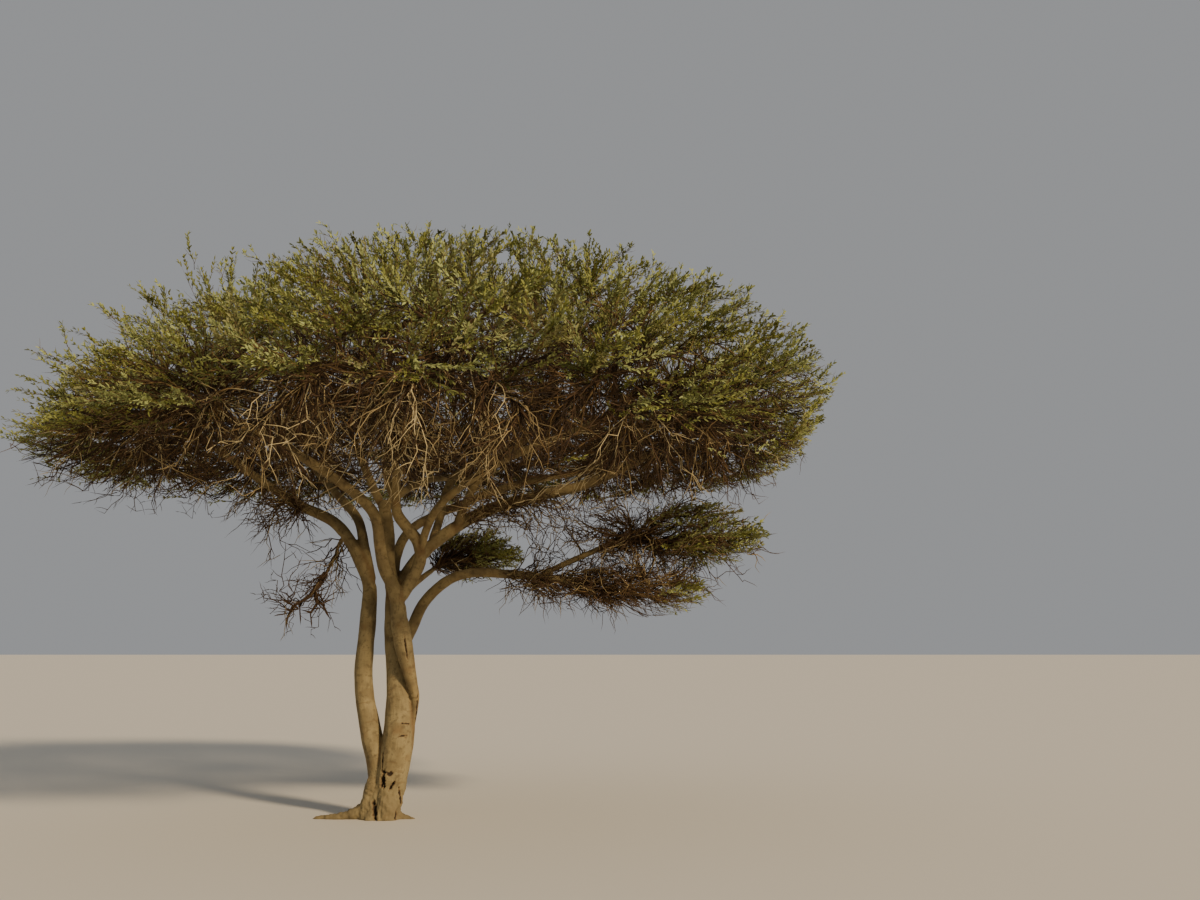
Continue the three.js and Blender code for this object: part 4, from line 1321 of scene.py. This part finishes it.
def grow_tuft(number, limbs, shares, centre, half, count, forks, nodes):
    rng = np.random.default_rng(TUFT_SEED + number)
    starts, ways = bearing_points(limbs, shares, nodes)
    tips = rng.uniform(-1, 1, (count * 3, 3))
    tips = (tips[size_of(tips)[:, 0] < 1] * half + centre)[:count]
    chosen = best_nodes(tips, starts, ways, 430)
    leave = unit(ways[chosen] + unit(tips - starts[chosen]))
    arrive = unit(tips - starts[chosen] + ways[chosen] * 200 + rng.normal(0, 120, tips.shape))
    twigs = sweep(starts[chosen], leave, tips, arrive, 8, 0.05, rng)
    bundle = Bundle()
    bundle.twigs(twigs, 6.8, 3, 4, rng.choice([1, 2], len(twigs), p=TUFT_SHARES))
    points, along = along_paths(twigs, rng.uniform(0.2, 0.97, (len(tips), forks)))
    points, along = points.reshape(-1, 3), along.reshape(-1, 3)
    out = unit(along + rng.normal(0, 0.5, along.shape))
    ends = points + out * rng.uniform(120, 340, (len(out), 1))
    twigs = sweep(points, out, ends, unit(out + along), 5, 0.05, rng)
    bundle.twigs(twigs, 4.2, 1.8, 3, rng.choice([1, 2], len(twigs), p=TUFT_SHARES))
    return bundle.make(f"bare_twigs_tuft_{number}", BARE_FINISHES, "dead_wood", nodes, True)


print("triangles of the tufts", [grow_tuft(number, *tuft) for number, tuft in enumerate(TUFTS, 1)])

# %% [markdown]
# The limbs. The real tree is one piece of wood: where stems touch they have grown together, and a bough
# leaves its stem in a smooth crotch. Tubes that are only pushed into one another would show a hard line
# there. So each limb is extruded ring by ring along its route, the tubes are melted into two skins, one for
# the trunk and one for the boughs, by a voxel remesh, as a sculptor would, and a little smoothing rounds the
# crotches.


# %% A place on a limb
def station(course, radii, share, side):
    """The matrix that carries a unit circle to a place on the limb, and the circle's side there"""
    along = course.along(share)
    side = unit(side - along * float(side @ along))
    radius = float(radius_along(radii, share))
    matrix = Matrix.Identity(4)
    for row in range(3):
        turned = side[row], np.cross(along, side)[row], along[row]
        matrix[row] = [v * radius * MM for v in turned] + [course.point(share)[row] * MM]
    return matrix, side


def push_ring(bm, cap, before, after, first=False):
    """Extrudes the cap from one station to the next, and returns the new cap"""
    grown = bmesh.ops.extrude_face_region(bm, geom=[cap], use_keep_orig=first)["geom"]
    verts = [v for v in grown if isinstance(v, bmesh.types.BMVert)]
    bmesh.ops.transform(bm, matrix=after @ before.inverted(), verts=verts)
    return next(face for face in grown if isinstance(face, bmesh.types.BMFace))


foot = station(courses["stem_left"], LIMBS["stem_left"][1], 0.0, np.array([1.0, 0.0, 0.0]))[0]
print("the left stem starts at", [round(v, 3) for v in foot.translation], "m")

# %% Limbs as tubes
# How far each ring of a limb's rounded end goes on, and its size, both in radii
ROUNDED_END = (0.35, 0.9), (0.3, 0.62), (0.15, 0.3)


def add_limb(bm, course, radii, sides=20, spacing=25):
    """Extrudes a circle along a limb's route, ring by ring"""
    steep = abs(course.along(0.0)[2]) > 0.5
    side = np.array([1.0, 0.0, 0.0]) if steep else np.array([0.0, 0.0, 1.0])
    before, side = station(course, radii, 0.0, side)
    made = bmesh.ops.create_circle(bm, cap_ends=True, segments=sides, radius=1, matrix=before)
    cap = made["verts"][0].link_faces[0]
    steps = max(3, round(course.lengths[-1] / spacing))
    for step in range(1, steps + 1):
        after, side = station(course, radii, step / steps, side)
        cap = push_ring(bm, cap, before, after, first=step == 1)
        before = after
    # A rounded end, so that no edge shows where a limb ends inside another
    radius = float(radii[-1])
    for onward, share in ROUNDED_END:
        centre = before.translation + Vector(course.along(1.0) * radius * onward * MM)
        turned = before.to_3x3().normalized().to_4x4()
        after = Matrix.Translation(centre) @ turned @ Matrix.Scale(radius * share * MM, 4)
        cap = push_ring(bm, cap, before, after)
        before = after


print("a limb's end is rounded by", len(ROUNDED_END), "rings")

# %% The foot, and the ridge of the front stem
ROOTS = {
    "flare": ([(-52, -14, -60), (-32, -14, 250), (-12, -14, 560)], [186, 158, 120, 96, 84, 76]),
    "root_left": ([(-120, -40, 100), (-300, -50, 38), (-520, -45, 10), (-700, -30, -14)], [84, 48, 32, 15]),
    "root_right": ([(60, -20, 20), (190, -30, -6), (340, -42, -34)], [72, 38, 20]),
    "root_back": ([(-60, 60, 80), (-160, 230, 26), (-230, 380, -12)], [90, 52, 22]),
    "foot_front": ([(36, -60, -60), (34, -92, 110), (40, -70, 300)], [108, 100, 70]),
    "toe_left": ([(-70, -10, 430), (-120, -30, 240), (-140, -50, 110), (-150, -60, -40)], [58, 76, 80, 82]),
}
# The front stem sinks into the right one as a ridge down its edge.
RIDGE = (
    [(226, -58, 640), (246, -80, 880)] + LIMBS["stem_front"][0], [18, 30, 36, 42, 54, 68, 86, 86, 80, 70]
)
SKIN_LIMBS = {**LIMBS, **ROOTS, "ridge": RIDGE}
for name in [*ROOTS, "ridge"]:
    courses[name] = Course(SKIN_LIMBS[name][0])
all_radii = {name: limb[1] for name, limb in SKIN_LIMBS.items()}
print(len(courses), "courses for the limbs and the foot")

# %% Boughs that carry a stem on
# Where a stem ends, one bough carries it on: it starts well down in the stem and is as thick there.
CARRIED_ON = {"bough_left": "stem_left", "bough_front_left": "ridge", "bough_middle": "stem_right"}
STARTS_IN_STEM = np.array([0.74, 0.86])
EASE_LENGTH = 260
STEM_ENDS = 0.94
for bough, stem in CARRIED_ON.items():
    own = courses[bough].lengths[-1]
    inside = courses[stem].point(STARTS_IN_STEM)
    courses[bough] = Course(list(inside) + list(courses[bough].points[1:-1]))
    extra = courses[bough].lengths[-1] - own
    lengths = np.linspace(-extra, own, 25)
    carried = radius_along(all_radii[stem], 1 - 0.26 * np.clip(-lengths / extra, 0, 1)) * 0.98
    ease = np.clip(lengths / EASE_LENGTH, 0, 1)
    thick = radius_along(LIMBS[bough][1], np.clip(lengths / own, 0, 1))
    all_radii[bough] = list(carried * (1 - ease) + thick * ease)
    kept = np.linspace(0, STEM_ENDS, 12)
    all_radii[stem] = list(radius_along(all_radii[stem], kept) * np.where(kept < 0.9, 1, 0.7))
    courses[stem] = Course(courses[stem].point(kept))
    print(bough, "starts", round(extra), "mm down in", stem)

# %% [markdown]
# Bark that follows a crooked limb needs to know where it is on the limb. For each point of the skin, the
# nearest place on a limb's middle line is found, and the point is noted as if that limb were straight and
# upright. Streaks and rings that are drawn in those straightened coordinates run along the real limb.


# %% One skin over many limbs
def melted(name, members, voxel, smoothing):
    bm = bmesh.new()
    for member in members:
        add_limb(bm, courses[member], all_radii[member])
    bmesh.ops.recalc_face_normals(bm, faces=bm.faces)
    mesh = bpy.data.meshes.new(name)
    bm.to_mesh(mesh)
    bm.free()
    piece = placed(name, mesh)
    skin = piece.modifiers.new("skin", "REMESH")
    skin.mode, skin.voxel_size = "VOXEL", voxel * MM
    evaluated = piece.evaluated_get(bpy.context.evaluated_depsgraph_get())
    melted_mesh = bpy.data.meshes.new_from_object(evaluated)
    piece.modifiers.clear()
    piece.data = melted_mesh
    bm = bmesh.new()
    bm.from_mesh(melted_mesh)
    for _ in range(smoothing):
        bmesh.ops.smooth_vert(
            bm, verts=bm.verts, factor=0.5, use_axis_x=True, use_axis_y=True, use_axis_z=True
        )
    bm.to_mesh(melted_mesh)
    bm.free()
    return piece


TRUNK = ["stem_left", "stem_right", "ridge", *ROOTS]
BOUGHS = [name for name in LIMBS if name not in TRUNK + ["stem_front"]]
TRUNK_VOXEL, BOUGH_VOXEL = 8, 12
trunk = melted("bark_trunk", TRUNK, TRUNK_VOXEL, 4)
boughs = melted("bark_boughs", BOUGHS, BOUGH_VOXEL, 2)
print("faces of the skins", len(trunk.data.polygons), len(boughs.data.polygons))

# %% Where each point lies on its limb
# How far apart the limbs are noted down, and how wide the crease is where two have grown together
NOTED_APART = 700
SEAM_WIDTH = 26


def straightened(points, members):
    """Each point as if its limb were straight and upright, the limb's radius, and how near a seam is"""
    shares = np.linspace(0, 1, 81)
    gap, other_gap, radii = np.full(len(points), 9e9), np.full(len(points), 9e9), np.zeros(len(points))
    straight = np.zeros((len(points), 3))
    for i, member in enumerate(members):
        course, sizes = courses[member], radius_along(all_radii[member], shares)
        middles = course.point(shares)
        square = (points**2).sum(axis=1)[:, None] + (middles**2).sum(axis=1) - 2 * points @ middles.T
        gaps = np.sqrt(np.maximum(square, 0)) - sizes
        place = gaps.argmin(axis=1)
        here = gaps.min(axis=1)
        off, way = points - middles[place], course.along(shares)[place]
        side = across(way, np.array([0.0, 1.0, 0.0]))
        travel = shares[place] * course.lengths[-1] + NOTED_APART * i + np.sum(off * way, axis=1)
        level = (np.sum(off * square_way, axis=1) for square_way in (side, np.cross(way, side)))
        local = np.column_stack([*level, travel])
        nearer = here < gap
        if member in LIMBS or member == "ridge":
            other_gap = np.where(nearer, gap, np.minimum(other_gap, here))
        straight[nearer], radii[nearer], gap = local[nearer], sizes[place][nearer], np.minimum(gap, here)
    seam = np.clip(1.15 - (np.abs(gap) + np.abs(other_gap)) / SEAM_WIDTH, 0, 1)
    return straight, radii, seam


middle = courses["stem_left"].point(0.5)[None]
print("the middle of the left stem lies", straightened(middle, TRUNK)[0][0].round(), "on it")

# %% [markdown]
# The relief. Most of the bark is smooth and tight, with shallow swellings like muscles. The lowest hand's
# breadths are old and gnarled, and the foot has a hollow with slits where a stem died, painted dark with
# shade. A few scars and a long crack mark the stems. Each is a small push in or out along the skin's own
# normal. The dents that go in and the seams between stems are also darkened with painted shade.


# %% Noise and dents
def rough(points, grain, octaves=2):
    """Smooth noise from -1 to 1 at points, for a grain size in millimetres"""
    scaled = points / grain
    return np.array([noise.fractal(Vector(p), 0.6, 2.0, octaves) for p in scaled])


def dent(points, centre, half, tilt=0.0):
    """1 in the middle of an egg-shaped dent and 0 from its edge on; tilt leans it about the view's way"""
    off = points - np.array(centre, float)
    turn = np.radians(tilt)
    x = off[:, 0] * np.cos(turn) - off[:, 2] * np.sin(turn)
    z = off[:, 0] * np.sin(turn) + off[:, 2] * np.cos(turn)
    reach = np.linalg.norm(np.column_stack([x, off[:, 1], z]) / np.array(half, float), axis=1)
    near = reach < 1.6
    reach[near] += rough(points[near], 34) * 0.55
    return np.clip(1 - reach, 0, 1) ** 0.7


print("noise at one point:", rough(np.array([[5.0, 5.0, 5.0]]), 90).round(3))

# %% Marks on the trunk
# Centre, half sizes, lean in degrees, depth in millimetres: the hollow's mouths, cracks and scars, which
# are also darkened with painted shade, and last two knots, which stand out
MARKS = [
    ((-4, -165, 358), (27, 120, 90), 2, 58),
    ((57, -165, 412), (26, 120, 30), 40, 24),
    ((85, -170, 307), (11, 120, 68), 32, 42),
    ((-12, -150, 515), (8, 120, 92), 0, 20),
    ((-72, -180, 96), (26, 120, 98), -14, 50),
    ((150, -150, 190), (9, 120, 108), -3, 20),
    ((118, -180, 45), (13, 120, 52), 0, 24),
    ((198, -260, 1527), (8, 90, 110), -8, 26),
    ((200, -190, 860), (52, 90, 9), 6, 5),
    ((168, -190, 750), (46, 90, 9), -8, 5),
    ((284, -120, 890), (8, 90, 240), 2, 10),
    ((258, -190, 1118), (42, 90, 34), 0, -16),
    ((-130, -110, 330), (62, 90, 110), 0, -16),
]
print(len(MARKS), "marks, the deepest", max(mark[3] for mark in MARKS), "mm")

# %% The relief of a skin
# Old bark ends at this height, and fades out over a stretch; the stems' seams start above it.
OLD_BARK_TOP = 430
OLD_BARK_FADE = 300
SEAM_FADE = 90
SEAM_DEPTH = 7


def relief(points, facing, grain, radii, seam, has_foot):
    """How far the skin is pushed out at each point, how much shade is painted into its slits, hollows and
    seams, and how old
    """
    height = points[:, 2]
    age = np.clip((OLD_BARK_TOP - height) / OLD_BARK_FADE, 0, 1) if has_foot else np.zeros(len(points))
    push = rough(grain * np.array([1, 1, 0.35]), 90) * np.minimum(radii * 0.06, 5)
    push += rough(grain * np.array([1, 1, 0.16]), 22) * (1.1 + 3.2 * age)
    push += (rough(points, 55) * 7 + rough(points, 24) * 3) * age * np.clip(radii / 90, 0.3, 1)
    if has_foot:
        seam = seam * np.clip((height - OLD_BARK_TOP) / SEAM_FADE, 0, 1)
    push -= SEAM_DEPTH * seam
    # Painted shade along the seams where stems have grown together
    dark = 0.28 * seam
    if has_foot:
        push += 13 * age * np.clip(rough(points * np.array([1, 1, 0.6]), 64), -1, 1)
        for centre, half, tilt, depth in MARKS:
            inside = dent(points, centre, half, tilt) * (facing < 0.1)
            push -= inside * depth
            # Dents that go in are darkened: painted shade in their depths
            if depth > 0:
                dark = np.maximum(dark, np.clip(inside * 1.8, 0, 1))
    return push, dark, age


print("old bark reaches", OLD_BARK_TOP, "mm up, and the seams are", SEAM_DEPTH, "mm deep")

# %% Carve both skins
# Thin limbs have young bark, whose darker tones are partly painted shade under the crown, from this radius
# down, fully so where thinner by the fade.
YOUNG_AND_SHADED_BARK_RADIUS = 96
YOUNG_AND_SHADED_BARK_FADE = 52


def vertex_vectors(mesh, label):
    values = np.empty(len(mesh.vertices) * 3, np.float32)
    mesh.vertices.foreach_get(label, values)
    return values.reshape(-1, 3).astype(float)


def carve(piece, members):
    """Pushes the skin in and out, and notes on it what its finish needs"""
    mesh = piece.data
    points, normals = vertex_vectors(mesh, "co") / MM, vertex_vectors(mesh, "normal")
    grain, radii, seam = straightened(points, members)
    push, dark, age = relief(points, normals[:, 1], grain, radii, seam, members is TRUNK)
    points += normals * push[:, None]
    mesh.vertices.foreach_set("co", (points * MM).astype(np.float32).ravel())
    # Young bark, whose darker tones also stand as painted shade under the crown
    young_and_shaded = np.clip((YOUNG_AND_SHADED_BARK_RADIUS - radii) / YOUNG_AND_SHADED_BARK_FADE, 0, 1)
    # The painted shade of slits, hollows and seams is noted for the finish
    notes = {"straightened": grain * MM, "painted_shade": dark, "old_bark": age, "young_and_shaded_bark": young_and_shaded}
    for label, values in notes.items():
        kind, field = ("FLOAT_VECTOR", "vector") if values.ndim == 2 else ("FLOAT", "value")
        attribute = mesh.attributes.new(label, kind, "POINT")
        attribute.data.foreach_set(field, values.astype(np.float32).ravel())
    mesh.update()
    return push


for piece, members in ((trunk, TRUNK), (boughs, BOUGHS)):
    pushed = carve(piece, members)
    print(piece.name, "is pushed by", pushed.min().round(1), "to", pushed.max().round(1), "mm")


# %% The flat cut at the ground, and what the skins stand for
def cut_at_ground(piece):
    """The flat cut at the ground, filled so that the skin stays closed"""
    bm = bmesh.new()
    bm.from_mesh(piece.data)
    everything = bm.verts[:] + bm.edges[:] + bm.faces[:]
    bmesh.ops.bisect_plane(bm, geom=everything, plane_co=(0, 0, 0), plane_no=(0, 0, 1), clear_inner=True)
    bmesh.ops.holes_fill(bm, edges=[edge for edge in bm.edges if edge.is_boundary])
    bmesh.ops.triangulate(bm, faces=[face for face in bm.faces if len(face.verts) > 4])
    loose = [v for v in bm.verts if not v.link_faces]
    bmesh.ops.delete(bm, geom=loose, context="VERTS")
    bmesh.ops.recalc_face_normals(bm, faces=bm.faces)
    bm.to_mesh(piece.data)
    bm.free()


cut_at_ground(trunk)
for piece, nodes in ((trunk, ["trunk_butt", *STEMS]), (boughs, BOUGHS)):
    piece.data.polygons.foreach_set("use_smooth", np.ones(len(piece.data.polygons), bool))
    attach(piece, "root")
    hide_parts(*nodes)
    print(piece.name, sum(len(face.vertices) - 2 for face in piece.data.polygons), "triangles")

# %% [markdown]
# Acacia bark on the stems is thin, smooth and yellow-tan, with a greyer film where it is old, faint rings
# that run round it, darker blotches the size of a hand, and rust-coloured stains of gum. It is matt. Its
# tones are drawn from noise at real sizes, streaks and rings in the straightened coordinates, blotches in
# the object's own. Painted shade darkens the slits, hollows and seams, and the thin boughs' darker tones
# are partly painted shade under the crown.


# %% Helpers for shader nodes
def add(tree, kind, inputs=None, **settings):
    """Adds a node with its settings and its inputs, which are values or the sockets that feed them"""
    made = tree.nodes.new(kind)
    for key, value in settings.items():
        setattr(made, key, value)
    for key, value in (inputs or {}).items():
        if isinstance(value, bpy.types.NodeSocket):
            tree.links.new(value, made.inputs[key])
        else:
            made.inputs[key].default_value = value
    return made


def band(tree, value, low, high):
    """A value stretched so that low is 0 and high is 1"""
    return add(
        tree, "ShaderNodeMapRange", {"Value": value, "From Min": low, "From Max": high}, clamp=True,
        interpolation_type="SMOOTHSTEP",
    ).outputs["Result"]


def maths(tree, operation, first, second):
    return add(tree, "ShaderNodeMath", {0: first, 1: second}, operation=operation).outputs[0]


def tint(tree, factor, under, over, share=1.0):
    """over laid on under by a factor"""
    if share != 1.0:
        factor = maths(tree, "MULTIPLY", factor, share)
    under, over = (linear(colour) if isinstance(colour, str) else colour for colour in (under, over))
    mixed = add(tree, "ShaderNodeMix", {"Factor": factor, 6: under, 7: over}, data_type="RGBA")
    return mixed.outputs[2]


def noise_at(tree, where, size_mm, detail=3, stretch=(1, 1, 1)):
    """Noise whose lumps are of a size in millimetres"""
    scale = [share / (size_mm * MM) for share in stretch]
    scaled = add(tree, "ShaderNodeMapping", {"Vector": where, "Scale": scale})
    made = add(tree, "ShaderNodeTexNoise", {"Vector": scaled.outputs[0], "Scale": 1.0, "Detail": detail})
    return made.outputs["Factor" if "Factor" in made.outputs else "Fac"]


print("a node for noise:", bpy.types.ShaderNodeTexNoise.bl_rna.name)

# %% The bark's tones
# Pale wood, film, blotches and gum on the thick stems, and the same on thin boughs, darker there partly as
# painted shade under the crown
STEM_TONES = "#92835d", "#7f704e", "#534632", "#745633"
BOUGH_TONES_WITH_SHADE = "#86754f", "#6e5f41", "#493d2c", "#674e31"
RING_TONE = "#6b5636"
OLD_TONE = "#786b4c"
# Crack tone: orange-brown inner wood, and partly painted shade; hollow tone: painted shade deep in slits and
# hollows
CRACK_WOOD_AND_SHADE_TONE = "#6f5434"
HOLLOW_SHADE_TONE = "#2a1f15"


def bark_colour(tree, place, streaks, rings, spots):
    """The tones in layers, each laid on where its noise lies in a band"""
    old, young_and_shaded, painted_shade = (
        add(tree, "ShaderNodeAttribute", attribute_name=label).outputs["Fac"]
        for label in ("old_bark", "young_and_shaded_bark", "painted_shade")
    )
    # Thin boughs take the darker bough tones, partly as painted shade under the crown
    pale, film, blotch, rust = (tint(tree, young_and_shaded, *tones) for tones in zip(STEM_TONES, BOUGH_TONES_WITH_SHADE))
    colour = pale
    for pattern, low, high, over, share in (
        (noise_at(tree, place, 150, 4), 0.4, 0.62, film, 1.0),
        (spots, 0.52, 0.68, blotch, 0.5),
        (noise_at(tree, place, 17, 2), 0.63, 0.7, blotch, 0.45),
        (noise_at(tree, place, 240, 2), 0.56, 0.7, rust, 0.4),
        (streaks, 0.55, 0.72, blotch, 0.35),
        (rings, 0.62, 0.7, RING_TONE, 0.4),
    ):
        colour = tint(tree, band(tree, pattern, low, high), colour, over, share)
    colour = tint(tree, old, colour, OLD_TONE, 0.55)
    # Painted shade: the crack tone on the slits' rims and the seams, partly the inner wood's orange-brown,
    # and the near-black hollow tone deep in slits and hollows
    colour = tint(tree, band(tree, painted_shade, 0.02, 0.35), colour, CRACK_WOOD_AND_SHADE_TONE, 0.6)
    return tint(tree, band(tree, painted_shade, 0.3, 0.85), colour, HOLLOW_SHADE_TONE, 0.95)


print("pale bark on the stems is, in linear numbers,", [round(v, 3) for v in linear(STEM_TONES[0])])


# %% The bark's finish
def bark_finish(name):
    """Smooth matt bark with fine streaks and rings in its relief"""
    material = bpy.data.materials.new(name)
    material.use_nodes = True
    tree = material.node_tree
    shader = tree.nodes["Principled BSDF"]
    place = add(tree, "ShaderNodeTexCoord").outputs["Object"]
    grain = add(tree, "ShaderNodeAttribute", attribute_name="straightened").outputs["Vector"]
    streaks = noise_at(tree, grain, 16, 4, (1, 1, 0.12))
    rings = noise_at(tree, grain, 22, 3, (0.12, 0.12, 1))
    spots = noise_at(tree, place, 45, 5)
    roughness = add(tree, "ShaderNodeMapRange", {"Value": spots, "To Min": 0.72, "To Max": 0.92})
    height = maths(tree, "ADD", maths(tree, "ADD", streaks, rings), noise_at(tree, place, 6, 3))
    bump = add(tree, "ShaderNodeBump", {"Height": height, "Strength": 0.5, "Distance": 3 * MM})
    tree.links.new(bark_colour(tree, place, streaks, rings, spots), shader.inputs["Base Color"])
    tree.links.new(roughness.outputs[0], shader.inputs["Roughness"])
    tree.links.new(bump.outputs[0], shader.inputs["Normal"])
    shader.inputs["Specular IOR Level"].default_value = 0.25
    return material


bark = bark_finish("smooth_acacia_bark")
for piece in (trunk, boughs):
    piece.data.materials.clear()
    piece.data.materials.append(bark)
print("the bark's finish has", len(bark.node_tree.nodes), "nodes")

# %% [markdown]
# The tree stands on a plain pale floor in soft light. One large lamp, low at the right front, gives the
# warm side light of the photograph, and the pale surroundings fill the shade.

# %% Floor
FLOOR_HALF = 150
floor_mesh = bpy.data.meshes.new("floor")
bm = bmesh.new()
bmesh.ops.create_grid(bm, x_segments=1, y_segments=1, size=FLOOR_HALF)
bmesh.ops.translate(bm, vec=(0, 0, -0.001), verts=bm.verts)
bm.to_mesh(floor_mesh)
bm.free()
floor = placed("floor", floor_mesh)
floor_mesh.materials.append(plain_finish("pale_studio_floor", "#d9d3c6", 0.9))
floor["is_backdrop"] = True
print("the floor reaches", FLOOR_HALF, "m to each side, 1 mm under the tree")

# %% Light
LAMP_AIM = (-0.75, 0.8, -0.55)
lamp_data = bpy.data.lights.new("low_warm_lamp", "SUN")
lamp_data.energy = 4.0
lamp_data.angle = 0.12
lamp_data.color = linear("#ffe7c2")[:3]
lamp = placed("low_warm_lamp", lamp_data)
lamp.rotation_euler = Vector(LAMP_AIM).to_track_quat("-Z", "Y").to_euler()
sky = bpy.data.worlds.new("pale_room")
sky.use_nodes = True
sky.node_tree.nodes["Background"].inputs["Color"].default_value = linear("#e3e5e8")
sky.node_tree.nodes["Background"].inputs["Strength"].default_value = 0.4
bpy.context.scene.world = sky
print("the lamp stands", round(np.degrees(np.arcsin(0.55 / np.linalg.norm(LAMP_AIM)))), "degrees high")

# %% [markdown]
# The camera stands 12 m away with its lens at eye height, tilted up by the angle that the photograph's
# perspective gives.

# %% Camera
TILT = 8.62
camera_data = bpy.data.cameras.new("camera")
camera_data.sensor_width = 36
camera_data.lens = 37.98
camera_data.clip_end = 500
camera = placed("camera", camera_data)
camera.location = (1.974, -12.0, 1.6)
camera.rotation_euler = (np.radians(90 + TILT), 0, 0)
bpy.context.scene.camera = camera
print("the camera sees", round(np.degrees(camera_data.angle)), "degrees across")

# %% The sizes of both boxes, and finish
low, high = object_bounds()
sizes = {"cad_box": [list(cad_low), list(cad_high)], "visual_box": [list(low), list(high)]}
print(sizes)
